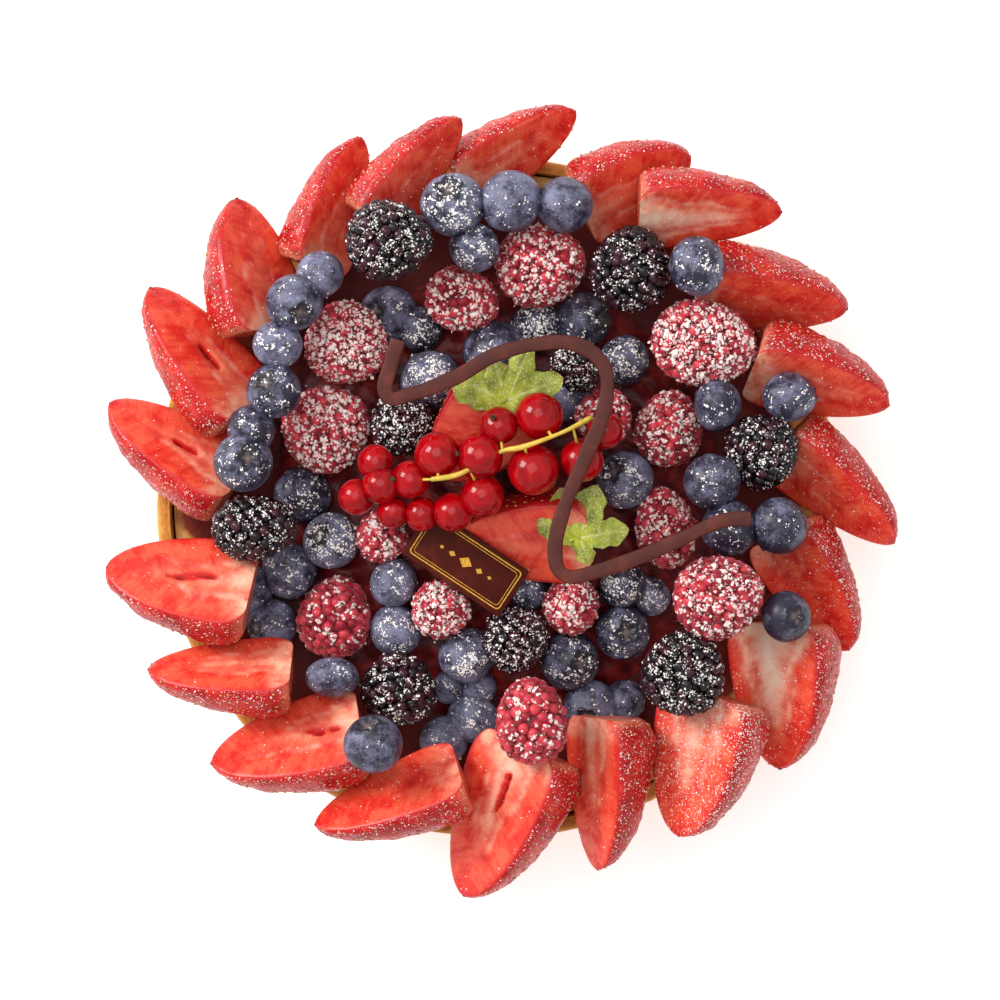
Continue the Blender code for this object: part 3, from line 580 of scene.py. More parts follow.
def cut_strawberry_flesh():
    """Knife-cut strawberry: wet red flesh, lighter half way in, soft fibres and pale core lines, and painted
    shade deep in a hollow slit.
    """
    colours = bpy.context.scene.crostata_colours
    made, tree, shader = start_material("cut_strawberry_flesh", Roughness=0.36, IOR=1.36,
                                        Subsurface_Weight=0.25, Subsurface_Scale=0.0025,
                                        Subsurface_Radius=(1.0, 0.25, 0.12), Coat_Weight=0.2,
                                        Coat_Roughness=0.2)
    flesh = add(tree, "Attribute", {"attribute_name": "flesh"})
    where = millimetre_coordinates(tree)
    values = {key: add(tree, "Attribute", {"attribute_name": key}).outputs["Fac"]
              for key in ("core", "vein", "mid", "stem", "rim", "slit")}
    # Fibres run from the core to the skin, 1 to 2 mm apart, and blur into one another.
    fibre = add(tree, "TexNoise", {"Scale": 1.0, "Detail": 3.0, "Roughness": 0.6},
                {"Vector": flesh.outputs["Vector"]})
    cloud = add(tree, "TexNoise", {"Scale": 1 / 5.0, "Detail": 4.0, "Roughness": 0.55}, {"Vector": where})
    grain = add(tree, "TexNoise", {"Scale": 1 / 0.6, "Detail": 3.0}, {"Vector": where})
    streak = add(tree, "Math", {"operation": "MULTIPLY_ADD", 1: 0.55}, {0: fibre, 2: cloud})
    lit = add(tree, "Math", {"operation": "MULTIPLY_ADD", 1: 0.12}, {0: values["mid"], 2: streak})
    red = add(tree, "ValToRGB", {"stops": (
        (0.50, linear("C01C14")), (0.72, tuple(colours.strawberry_flesh)), (0.96, linear("EA5A3E")))},
        {"Fac": lit})
    middle = add(tree, "Math", {"operation": "MULTIPLY"}, {0: values["core"], 1: streak})
    # The core turns orange first and cream only in its middle.
    halo = add(tree, "MapRange", {1: 0.04, 2: 0.42, 3: 0.0, 4: 0.9}, {0: middle})
    orange = add(tree, "Mix", {"data_type": "RGBA", 7: linear("F2896A")}, {0: halo, 6: red})
    cream = add(tree, "MapRange", {1: 0.24, 2: 0.72, 3: 0.0, 4: 1.0}, {0: middle})
    inside = add(tree, "Mix", {"data_type": "RGBA", 7: linear("FFDFC8")}, {0: cream, 6: orange.outputs[2]})
    broken = add(tree, "MapRange", {1: 0.36, 2: 0.62, 3: 0.15, 4: 1.0}, {0: cloud})
    line = add(tree, "Math", {"operation": "MULTIPLY"}, {0: values["vein"], 1: broken})
    veined = add(tree, "Mix", {"data_type": "RGBA", 7: linear("FFD9BE")}, {0: line, 6: inside.outputs[2]})
    base = add(tree, "Math", {"operation": "MULTIPLY"}, {0: values["stem"], 1: broken})
    based = add(tree, "Mix", {"data_type": "RGBA", 7: linear("FCCFAE")}, {0: base, 6: veined.outputs[2]})
    edged = add(tree, "Mix", {"data_type": "RGBA", 7: linear("BE1715")},
                {0: values["rim"], 6: based.outputs[2]})
    lip = add(tree, "MapRange", {1: 0.02, 2: 0.40, 3: 0.0, 4: 1.0}, {0: values["slit"]})
    hollow = add(tree, "Mix", {"data_type": "RGBA", 7: linear("CC2218")}, {0: lip, 6: edged.outputs[2]})
    # Painted shade: the deepest part of a hollow slit is nearly black red.
    pit = add(tree, "MapRange", {1: 0.45, 2: 0.95, 3: 0.0, 4: 1.0}, {0: values["slit"]})
    shaded_deep = add(tree, "Mix", {"data_type": "RGBA", 7: linear("74080C")}, {0: pit, 6: hollow.outputs[2]})
    tree.links.new(shaded_deep.outputs[2], shader.inputs["Base Color"])
    height = add(tree, "Math", {"operation": "MULTIPLY_ADD", 1: 1.2}, {0: fibre, 2: grain})
    relief = add(tree, "Bump", {"Strength": 0.35, "Distance": 0.0003}, {"Height": height})
    tree.links.new(relief.outputs[0], shader.inputs["Normal"])
    return made


def strawberry_skin():
    """Ripe strawberry skin: tight, glossy, deep red, paler at the stem end, and darkened in the pit round
    each seed as painted shade.
    """
    colours = bpy.context.scene.crostata_colours
    made, tree, shader = start_material("strawberry_skin", Roughness=0.36, IOR=1.40, Specular_IOR_Level=0.35,
                                        Subsurface_Weight=0.15, Subsurface_Scale=0.0015,
                                        Subsurface_Radius=(1.0, 0.2, 0.1), Coat_Weight=0.1,
                                        Coat_Roughness=0.15)
    unripe = add(tree, "Attribute", {"attribute_name": "unripe"})
    pit = add(tree, "Attribute", {"attribute_name": "pit"})
    where = millimetre_coordinates(tree)
    cloud = add(tree, "TexNoise", {"Scale": 1 / 7.0, "Detail": 4.0}, {"Vector": where})
    red = add(tree, "ValToRGB", {"stops": (
        (0.30, linear("A20C10")), (0.52, tuple(colours.strawberry_skin)), (0.76, linear("D83A24")))},
        {"Fac": cloud})
    pale = add(tree, "Mix", {"data_type": "RGBA", 7: linear("EDA67E")}, {0: unripe.outputs["Fac"], 6: red})
    # Painted shade: the skin turns dark red in the hollow round each seed.
    pit_shaded = add(tree, "Mix", {"data_type": "RGBA", 7: linear("7A0C10")},
                 {0: pit.outputs["Fac"], 6: pale.outputs[2]})
    tree.links.new(pit_shaded.outputs[2], shader.inputs["Base Color"])
    return made


def strawberry_seed():
    """Dry seeds on the skin: straw yellow to light brown, hard and slightly shiny."""
    made, tree, shader = start_material("strawberry_seed", Roughness=0.4, IOR=1.5)
    tint = add(tree, "Attribute", {"attribute_name": "tint"})
    tone = add(tree, "ValToRGB", {"stops": (
        (0.0, linear("E0A068")), (0.6, linear("D27C46")), (1.0, linear("AE5630")))},
        {"Fac": tint.outputs["Fac"]})
    tree.links.new(tone.outputs[0], shader.inputs["Base Color"])
    return made


def blueberry_skin():
    """Blueberry skin: nearly black blue under a matt, pale bloom that is rubbed off in patches."""
    colours = bpy.context.scene.crostata_colours
    made, tree, shader = start_material("blueberry_skin", Roughness=0.5, IOR=1.42)
    where = millimetre_coordinates(tree)
    crown = add(tree, "Attribute", {"attribute_name": "crown"})
    tint = add(tree, "Attribute", {"attribute_name": "tint"})
    rubbed = add(tree, "TexNoise", {"Scale": 1 / 4.2, "Detail": 6.0, "Roughness": 0.62}, {"Vector": where})
    specks = add(tree, "TexNoise", {"Scale": 1 / 0.9, "Detail": 3.0, "Roughness": 0.7}, {"Vector": where})
    amount = add(tree, "Math", {"operation": "MULTIPLY_ADD", 1: 0.45}, {0: specks, 2: rubbed})
    shifted = add(tree, "Math", {"operation": "MULTIPLY_ADD", 1: 0.22}, {0: tint.outputs["Fac"], 2: amount})
    bloom = add(tree, "MapRange", {1: 0.60, 2: 0.94, 3: 0.0, 4: 0.95}, {0: shifted})
    skin = add(tree, "Mix", {"data_type": "RGBA", 6: tuple(colours.blueberry), 7: linear("8484A0")},
               {0: bloom})
    # The dried crown: dark at its rim, straw brown inside.
    tone = add(tree, "ValToRGB", {"stops": (
        (0.0, linear("77655A")), (0.35, linear("4C4146")), (0.75, linear("20202C")))},
        {"Fac": crown.outputs["Fac"]})
    fade = add(tree, "MapRange", {1: 0.80, 2: 1.0, 3: 1.0, 4: 0.0}, {0: crown.outputs["Fac"]})
    full = add(tree, "Mix", {"data_type": "RGBA"}, {0: fade, 6: skin.outputs[2], 7: tone})
    tree.links.new(full.outputs[2], shader.inputs["Base Color"])
    gloss = add(tree, "MapRange", {1: 0.0, 2: 1.0, 3: 0.34, 4: 0.68}, {0: bloom})
    tree.links.new(gloss.outputs[0], shader.inputs["Roughness"])
    relief = add(tree, "Bump", {"Strength": 0.22, "Distance": 0.0003}, {"Height": amount})
    tree.links.new(relief.outputs[0], shader.inputs["Normal"])
    return made


def drupelet_skin(name, colour, dark, light, **shader_settings):
    """Thin skin of a drupelet full of juice, darker in the clefts as painted shade and so lighter where it
    bulges.
    """
    made, tree, shader = start_material(name, IOR=1.38, Subsurface_Scale=0.0012,
                                        Subsurface_Radius=(1.0, 0.2, 0.15), Coat_Weight=0.15,
                                        Coat_Roughness=0.2, **shader_settings)
    tint = add(tree, "Attribute", {"attribute_name": "tint"})
    cleft = add(tree, "Attribute", {"attribute_name": "cleft"})
    where = millimetre_coordinates(tree)
    cloud = add(tree, "TexNoise", {"Scale": 1 / 1.4, "Detail": 3.0}, {"Vector": where})
    mixed = add(tree, "Math", {"operation": "MULTIPLY_ADD", 1: 0.45}, {0: cloud, 2: tint.outputs["Fac"]})
    tone = add(tree, "ValToRGB", {"stops": (
        (0.15, dark), (0.60, colour), (1.0, light))}, {"Fac": mixed})
    # Painted shade: the skin turns to the dark colour in the clefts between drupelets.
    shaded_deep = add(tree, "Mix", {"data_type": "RGBA", 7: dark}, {0: cleft.outputs["Fac"], 6: tone})
    tree.links.new(shaded_deep.outputs[2], shader.inputs["Base Color"])
    relief = add(tree, "Bump", {"Strength": 0.2, "Distance": 0.0002}, {"Height": cloud})
    tree.links.new(relief.outputs[0], shader.inputs["Normal"])
    return made


def raspberry_skin():
    """Raspberry: soft crimson skin with a fine down that takes the shine off."""
    colours = bpy.context.scene.crostata_colours
    return drupelet_skin("raspberry_skin", tuple(colours.raspberry), linear("7E0C1A"), linear("CE3846"),
                         Roughness=0.45, Subsurface_Weight=0.3, Sheen_Weight=0.25, Sheen_Roughness=0.4)


def bramble_skin():
    """Bramble fruit: taut, glossy skin that is nearly black, wine red where light gets in."""
    colours = bpy.context.scene.crostata_colours
    return drupelet_skin("bramble_skin", tuple(colours.bramble), linear("0B0709"), linear("3A1420"),
                         Roughness=0.22, Subsurface_Weight=0.05)


def redcurrant_skin():
    """Redcurrant: thin glassy skin over clear red juice, with faint pale lines from pole to pole."""
    colours = bpy.context.scene.crostata_colours
    made, tree, shader = start_material("redcurrant_skin", Roughness=0.14, IOR=1.37, Specular_IOR_Level=0.35,
                                        Subsurface_Weight=0.55, Subsurface_Scale=0.004,
                                        Subsurface_Radius=(1.0, 0.08, 0.05), Coat_Weight=0.2,
                                        Coat_Roughness=0.1)
    line = add(tree, "Attribute", {"attribute_name": "line"})
    where = millimetre_coordinates(tree)
    cloud = add(tree, "TexNoise", {"Scale": 1 / 5.0, "Detail": 2.0}, {"Vector": where})
    red = add(tree, "ValToRGB", {"stops": (
        (0.35, linear("8A0008")), (0.6, tuple(colours.redcurrant)))}, {"Fac": cloud})
    lined = add(tree, "Mix", {"data_type": "RGBA", 7: linear("E0342A")}, {0: line.outputs["Fac"], 6: red})
    tree.links.new(lined.outputs[2], shader.inputs["Base Color"])
    return made


def dried_flower_end():
    """Withered flower left on a currant: dry, dark brown, matt."""
    made, tree, shader = start_material("dried_flower_end", Roughness=0.8, IOR=1.45)
    where = millimetre_coordinates(tree)
    cloud = add(tree, "TexNoise", {"Scale": 1 / 0.5, "Detail": 3.0}, {"Vector": where})
    tone = add(tree, "ValToRGB", {"stops": (
        (0.35, linear("2A1A0E")), (0.65, linear("6B5636")))}, {"Fac": cloud})
    tree.links.new(tone.outputs[0], shader.inputs["Base Color"])
    return made


def fresh_stalk():
    """Fresh currant stalk: smooth yellow green, waxy."""
    made, tree, shader = start_material("fresh_stalk", Roughness=0.38, IOR=1.45, Subsurface_Weight=0.2,
                                        Subsurface_Scale=0.0008)
    where = millimetre_coordinates(tree)
    cloud = add(tree, "TexNoise", {"Scale": 1 / 2.5, "Detail": 3.0}, {"Vector": where})
    tone = add(tree, "ValToRGB", {"stops": (
        (0.35, linear("C0A63A")), (0.6, linear("E0BA4C")), (0.8, linear("E8CC80")))}, {"Fac": cloud})
    tree.links.new(tone.outputs[0], shader.inputs["Base Color"])
    return made


def strawberry_sepal():
    """Strawberry leaf cap: soft, downy, yellow green with lighter veins and browned tips."""
    made, tree, shader = start_material("strawberry_sepal", Roughness=0.6, IOR=1.42, Subsurface_Weight=0.2,
                                        Subsurface_Scale=0.0008, Sheen_Weight=0.3)
    vein = add(tree, "Attribute", {"attribute_name": "vein"})
    share = add(tree, "Attribute", {"attribute_name": "share"})
    where = millimetre_coordinates(tree)
    cloud = add(tree, "TexNoise", {"Scale": 1 / 3.0, "Detail": 4.0}, {"Vector": where})
    down = add(tree, "TexVoronoi", {"Scale": 1 / 0.8}, {"Vector": where})
    tone = add(tree, "ValToRGB", {"stops": (
        (0.30, linear("67741A")), (0.52, linear("939C2A")), (0.72, linear("B8BC48")))}, {"Fac": cloud})
    tips = add(tree, "MapRange", {1: 0.85, 2: 1.0, 3: 0.0, 4: 0.6}, {0: share.outputs["Fac"]})
    browned = add(tree, "Mix", {"data_type": "RGBA", 7: linear("B0A04A")}, {0: tips, 6: tone})
    heart = add(tree, "MapRange", {1: 0.05, 2: 0.45, 3: 0.7, 4: 0.0}, {0: share.outputs["Fac"]})
    fresh = add(tree, "Mix", {"data_type": "RGBA", 7: linear("B9BE1E")}, {0: heart, 6: browned.outputs[2]})
    veined = add(tree, "Mix", {"data_type": "RGBA", 7: linear("D3D884")},
                 {0: vein.outputs["Fac"], 6: fresh.outputs[2]})
    # Down and its dew are finer than a pixel, so the dots are drawn 0.8 mm apart to show at all. Their pale
    # colour is the down's own and, for the dew, painted glints of light.
    dots = add(tree, "MapRange", {1: 0.12, 2: 0.26, 3: 0.75, 4: 0.0}, {0: down.outputs["Distance"]})
    down_and_dew_glints = add(tree, "Mix", {"data_type": "RGBA", 7: linear("F4F5DA")}, {0: dots, 6: veined.outputs[2]})
    tree.links.new(down_and_dew_glints.outputs[2], shader.inputs["Base Color"])
    relief = add(tree, "Bump", {"Strength": 0.4, "Distance": 0.0003}, {"Height": cloud})
    tree.links.new(relief.outputs[0], shader.inputs["Normal"])
    return made


def set_dark_chocolate(shine):
    """Tempered dark chocolate, poured and set: satin brown with a faint bloom."""
    colours = bpy.context.scene.crostata_colours
    made, tree, shader = start_material("set_dark_chocolate", Roughness=0.46, IOR=1.46,
                                        Specular_IOR_Level=shine)
    where = millimetre_coordinates(tree)
    cloud = add(tree, "TexNoise", {"Scale": 1 / 6.0, "Detail": 5.0}, {"Vector": where})
    fine = add(tree, "TexNoise", {"Scale": 1 / 0.7, "Detail": 3.0}, {"Vector": where})
    tone = add(tree, "ValToRGB", {"stops": (
        (0.30, linear("43150E")), (0.55, tuple(colours.chocolate)), (0.80, linear("6E2D20")))},
        {"Fac": cloud})
    tree.links.new(tone.outputs[0], shader.inputs["Base Color"])
    relief = add(tree, "Bump", {"Strength": 0.12, "Distance": 0.0002}, {"Height": fine})
    tree.links.new(relief.outputs[0], shader.inputs["Normal"])
    return made


def gold_food_paint():
    """Edible gold powder printed on chocolate: thin, satin, slightly grainy metal colour."""
    made, tree, shader = start_material("gold_food_paint", Metallic=0.75, Roughness=0.42)
    where = millimetre_coordinates(tree)
    grain = add(tree, "TexNoise", {"Scale": 1 / 0.3, "Detail": 3.0}, {"Vector": where})
    tone = add(tree, "ValToRGB", {"stops": (
        (0.35, linear("B07A1E")), (0.65, linear("E0AE4A")))}, {"Fac": grain})
    tree.links.new(tone.outputs[0], shader.inputs["Base Color"])
    return made


def icing_sugar():
    """Icing sugar: fine white powder, matt and bright."""
    colours = bpy.context.scene.crostata_colours
    made, tree, shader = start_material("icing_sugar", Roughness=0.7, IOR=1.5)
    tint = add(tree, "Attribute", {"attribute_name": "tint"})
    # Thin grains let a little of the fruit's red through.
    tone = add(tree, "Mix", {"data_type": "RGBA", 6: tuple(colours.sugar), 7: linear("E2A6A4")},
               {0: tint.outputs["Fac"]})
    tree.links.new(tone.outputs[2], shader.inputs["Base Color"])
    return made


def light_table_acrylic():
    """White acrylic of a light table: matt, and lit from below so that shadows on it stay faint."""
    made, tree, shader = start_material("light_table_acrylic", Roughness=0.6,
                                        Emission_Color=(1.0, 1.0, 1.0, 1.0), Emission_Strength=0.42)
    where = millimetre_coordinates(tree)
    cloud = add(tree, "TexNoise", {"Scale": 1 / 400.0, "Detail": 1.0}, {"Vector": where})
    tone = add(tree, "MapRange", {1: 0.3, 2: 0.7, 3: 0.90, 4: 0.93}, {0: cloud})
    tree.links.new(tone.outputs[0], shader.inputs["Base Color"])
    return made


@functools.cache
def icosahedron():
    """Points on a ball of radius 1 and its 20 faces."""
    golden = (1.0 + 5.0 ** 0.5) / 2.0
    points = []
    for first in (-1.0, 1.0):
        for second in (-golden, golden):
            points += [(0.0, first, second), (first, second, 0.0), (second, 0.0, first)]
    points = np.array(points) / math.hypot(1.0, golden)
    faces = []
    for one in range(12):
        for two in range(one + 1, 12):
            for three in range(two + 1, 12):
                sides = (points[one] - points[two], points[two] - points[three], points[three] - points[one])
                if max(np.linalg.norm(side) for side in sides) < 1.1:
                    out = np.cross(points[two] - points[one], points[three] - points[one]) @ points[one] > 0
                    faces.append((one, two, three) if out else (one, three, two))
    return points, np.array(faces)


@functools.cache
def flake():
    """Points of a flat crust of sugar: a rim of six corners, a raised middle and a point below."""
    turns = np.linspace(0.0, math.tau, 6, endpoint=False)
    rim = np.column_stack((np.cos(turns), np.sin(turns), np.zeros(6)))
    faces = [(side, (side + 1) % 6, 6) for side in range(6)]
    faces += [((side + 1) % 6, side, 7) for side in range(6)]
    return np.vstack((rim, (0.0, 0.0, 0.45), (0.0, 0.0, -0.45))), np.array(faces)


@functools.cache
def octahedron():
    """Points of a grain with 8 faces."""
    points = np.array(((1, 0, 0), (-1, 0, 0), (0, 1, 0), (0, -1, 0), (0, 0, 1), (0, 0, -1)), dtype=float)
    faces = [(0, 2, 4), (2, 1, 4), (1, 3, 4), (3, 0, 4), (2, 0, 5), (1, 2, 5), (3, 1, 5), (0, 3, 5)]
    return points, np.array(faces)


@functools.cache
def tetrahedron():
    """Points of the finest grain, with 4 faces."""
    points = np.array(((0.94, 0.0, -0.33), (-0.47, 0.82, -0.33), (-0.47, -0.82, -0.33), (0.0, 0.0, 1.0)))
    return points, np.array(((0, 2, 1), (0, 1, 3), (1, 2, 3), (2, 0, 3)))


def dome(rings, sides, reach):
    """Points of a ball of radius 1 from its top pole down to an angle, faces, and that angle's share."""
    angles = np.linspace(0.0, reach, rings + 1)[1:]
    around = np.linspace(0.0, math.tau, sides, endpoint=False)
    points = [(0.0, 0.0, 1.0)]
    share = [0.0]
    for step, angle in enumerate(angles):
        shift = 0.5 * step * math.tau / sides
        for turn in around:
            points.append((math.sin(angle) * math.cos(turn + shift), math.sin(angle) * math.sin(turn + shift),
                           math.cos(angle)))
            share.append(angle / reach)
    faces = [(0, 1 + side, 1 + (side + 1) % sides) for side in range(sides)]
    for ring in range(rings - 1):
        for side in range(sides):
            near, after = 1 + ring * sides + side, 1 + ring * sides + (side + 1) % sides
            faces.append((near, near + sides, after + sides, after))
    return np.array(points), faces, np.array(share)


def turned(profile, sides):
    """Points of a profile of radius and height, turned about the tart's axis."""
    turns = np.linspace(0.0, math.tau, sides, endpoint=False)
    return np.array([(r * math.cos(turn), r * math.sin(turn), z) for r, z in profile for turn in turns])


def on_ball(angle, around, squash=1.0):
    """Points of a ball of radius 1 by angle from its pole and turn, squashed along its axis."""
    return np.stack((np.sin(angle) * np.cos(around), np.sin(angle) * np.sin(around),
                     squash * np.cos(angle)), axis=-1)


def facing(x, y):
    """Upward direction that shows this x and y from above."""
    return x, y, math.sqrt(max(1.0 - x ** 2 - y ** 2, 0.05))


def smooth_route(points, steps):
    """Points of a smooth curve through the given ones."""
    points = np.asarray(points, dtype=float)
    padded = np.vstack((2 * points[0] - points[1], points, 2 * points[-1] - points[-2]))
    route = []
    for place in range(1, len(padded) - 2):
        a, b, c, d = padded[place - 1:place + 3]
        for share in np.linspace(0.0, 1.0, steps, endpoint=False):
            route.append(0.5 * (2 * b + (c - a) * share + (2 * a - 5 * b + 4 * c - d) * share ** 2
                                + (3 * b - a - 3 * c + d) * share ** 3))
    route.append(padded[-2])
    return np.array(route)


def tube(route, radii, sides=8):
    """Points and faces of a round tube along a route, closed at both ends."""
    route = np.asarray(route, dtype=float)
    rings = []
    reference = np.array((0.0, 0.0, 1.0))
    for place, point in enumerate(route):
        along = route[min(place + 1, len(route) - 1)] - route[max(place - 1, 0)]
        along /= np.linalg.norm(along)
        if abs(along @ reference) > 0.95:
            reference = np.array((1.0, 0.0, 0.0))
        across = np.cross(along, reference)
        across /= np.linalg.norm(across)
        up = np.cross(across, along)
        turns = np.linspace(0.0, math.tau, sides, endpoint=False)
        rings.append(point + radii[place] * (np.outer(np.cos(turns), across) + np.outer(np.sin(turns), up)))
    points = np.vstack(rings + [route[:1], route[-1:]])
    faces = [tuple(face) for face in grid_faces(len(route), sides, closed=True)[:, ::-1]]
    last = len(points) - 1
    for side in range(sides):
        after = (side + 1) % sides
        faces.append((last - 1, side, after))
        start = (len(route) - 1) * sides
        faces.append((last, start + after, start + side))
    return points, faces


def girth(along):
    """Radius of a strawberry from its stem end (0) to its tip (1), the widest place is 1."""
    shoulder = 0.70 + 0.30 * np.sqrt(1.0 - (1.0 - np.clip(along / 0.20, 0.0, 1.0)) ** 2)
    return shoulder * np.clip(1.0 - along ** 2.2, 0.0, 1.0) ** 0.52 / 0.98


def smooth_step(low, high, value):
    """0 below low, 1 above high, and an even change between them."""
    share = np.clip((value - low) / (high - low), 0.0, 1.0)
    return share * share * (3.0 - 2.0 * share)


def plan_radius(width, lean):
    """Radius of a half berry that is this wide seen from above when it leans."""
    return FULLNESS * width / (1.0 + 0.97 * math.cos(lean) + 0.25 * math.sin(abs(lean)))


class HalfStrawberry:
    """Half a strawberry along X with its tip at +X and its flat cut face up."""

    ALONG = 58
    AROUND = 46
    ACROSS = 30
    FLESH_VALUES = ("core", "vein", "mid", "stem", "rim", "slit")
    # Seeds stand this far apart along the berry and round it.
    ROW_PITCH = 2.3
    SEAT_PITCH = 2.6
    # The knife-cut edge is worn down by this much at most, and this far in on both sides of it.
    EDGE_WEAR = 0.45
    EDGE_REACH = 1.8

    def __init__(self, length, radius, look, seed):
        self.length, self.radius, self.look, self.seed = length, radius, look, seed
        self.source = np.random.default_rng(seed)
        self.along = 0.5 - 0.5 * np.cos(np.linspace(0.0, math.pi, self.ALONG))
        self.along = 0.55 * self.along + 0.45 * np.linspace(0.0, 1.0, self.ALONG)
        self.girths = radius * girth(self.along)
        self.cuts = np.minimum(CUT_RISE * radius * (1.0 - self.along), 0.9 * self.girths)

    def seats(self):
        """Share along and turn of each seed on the skin, in staggered rows."""
        places = []
        rows = int(self.length / self.ROW_PITCH)
        for row in range(rows):
            share = (row + 0.6) / rows
            girth_here = float(np.interp(share, self.along, self.girths))
            seats = max(2, int(math.pi * girth_here / self.SEAT_PITCH))
            for seat in range(seats):
                turn = (seat + 0.25 + 0.5 * (row % 2)) / seats
                places.append((share + self.source.uniform(-0.012, 0.012),
                               turn + self.source.uniform(-0.02, 0.02)))
        return [place for place in places if 0.03 < place[0] < 0.985 and 0.03 < place[1] < 0.97]

    def skin_point(self, share, turn):
        """Place on the skin, by share along the berry and turn from one cut edge to the other."""
        girth_here = np.interp(share, self.along, self.girths)
        cut = np.interp(share, self.along, self.cuts)
        opening = np.arcsin(np.clip(cut / np.maximum(girth_here, 1e-6), -1.0, 1.0))
        angle = opening - (math.pi + 2.0 * opening) * turn
        return np.stack(((share - 0.5) * self.length, girth_here * np.cos(angle),
                         girth_here * np.sin(angle)), axis=-1)

    def lowest(self, turn, ahead=0.0):
        """Lowest height of the skin once the berry is moved ahead and turned."""
        share, around = np.meshgrid(self.along, np.linspace(0.0, 1.0, 40), indexing="ij")
        return ((self.skin_point(share, around).reshape(-1, 3) + ahead) @ turn.T)[:, 2].min()

    def build(self, shape, seeds):
        """Put skin and cut face in one mesh and the seeds in another. Shape moves points to the tart."""
        share, turn = np.meshgrid(self.along, np.linspace(0.0, 1.0, self.AROUND), indexing="ij")
        skin = self.skin_point(share, turn).reshape(-1, 3)
        share, turn = share.ravel(), turn.ravel()
        outward = skin * np.array((0.25, 1.0, 1.0))
        outward /= np.maximum(np.linalg.norm(outward, axis=1, keepdims=True), 1e-6)
        inner = np.sin(math.pi * turn) ** 0.5
        to_edge = math.pi * np.interp(share, self.along, self.girths) * np.minimum(turn, 1.0 - turn)
        skin += self.worn(np.sign(0.5 - turn), to_edge)
        bumps = 0.35 * ripple(skin, 9.0, self.seed) + 0.17 * ripple(skin, 2.4, self.seed + 9)
        skin += outward * (bumps * inner)[:, None]
        # How deep the skin sinks round each seed; the skin is also painted darker there, as shade.
        pit = np.zeros(len(skin))
        half = self.length / 2.0
        for seat_share, seat_turn in self.seats():
            seat = self.skin_point(np.array(seat_share), np.array(seat_turn))
            apart = np.linalg.norm(skin - seat, axis=1)
            pit = np.maximum(pit, np.exp(-(apart / 0.75) ** 2))
            normal = seat * np.array((0.25 + 0.6 * seat_share, 1.0, 1.0))
            normal[0] = 0.5 * self.radius * seat_share ** 3 + 0.02 * seat[0] / half
            normal /= np.linalg.norm(normal)
            ahead = np.array((1.0, 0.0, 0.0))
            side = np.cross(normal, ahead)
            side /= np.linalg.norm(side)
            ahead = np.cross(side, normal)
            ball, faces = icosahedron()
            seed_length = bpy.context.scene.crostata_sizes.achene_length / MM
            size = 0.5 * seed_length * self.source.uniform(0.85, 1.15)
            body = ball * np.array((1.0, 0.62, 0.45)) * size
            placed = seat - 0.12 * normal + body[:, :1] * ahead + body[:, 1:2] * side + body[:, 2:] * normal
            seeds.put(shape(placed), faces, tint=np.full(len(placed), self.source.uniform(0.0, 1.0)))
        skin -= outward * (0.48 * pit * inner)[:, None]
        unripe = 0.45 * np.clip(1.0 - share / (0.07 + 0.02 * ripple(skin, 12.0, self.seed + 5)), 0.0, 1.0)
        # The stem end: a slightly hollow, pale disc.
        ring = skin[:self.AROUND]
        centre = np.array((ring[0, 0] + 0.9, 0.0, 0.35 * self.cuts[0] - 0.30 * self.girths[0]))
        cap = np.vstack([centre + (ring - centre) * scale for scale in (0.05, 0.35, 0.65, 0.88)])
        whole = Heap()
        whole.put(shape(np.vstack((cap, skin))), grid_faces(self.ALONG + 4, self.AROUND)[:, ::-1],
                  flesh=np.zeros((len(cap) + len(skin), 3)),
                  **{key: np.zeros(len(cap) + len(skin)) for key in self.FLESH_VALUES},
                  pit=np.concatenate((np.zeros(len(cap)), 0.8 * pit)),
                  unripe=np.concatenate((np.repeat((0.8, 0.6, 0.35, 0.2), self.AROUND), unripe)))
        slots = [0] * len(whole.faces)
        face = self.cut_face()
        points = face.pop("points")
        whole.put(shape(points), grid_faces(self.ALONG, self.ACROSS)[:, ::-1], **face,
                  pit=np.zeros(len(points)), unripe=np.zeros(len(points)))
        slots += [1] * (len(whole.faces) - len(slots))
        return whole, slots

    def worn(self, side, to_edge):
        """Shift that rounds the knife-cut edge, which is this far away: both sides meet at 45 degrees."""
        near = self.EDGE_WEAR * np.maximum(1.0 - to_edge / self.EDGE_REACH, 0.0) ** 2
        return np.stack((np.zeros(len(near)), -side * near, -near), axis=-1)

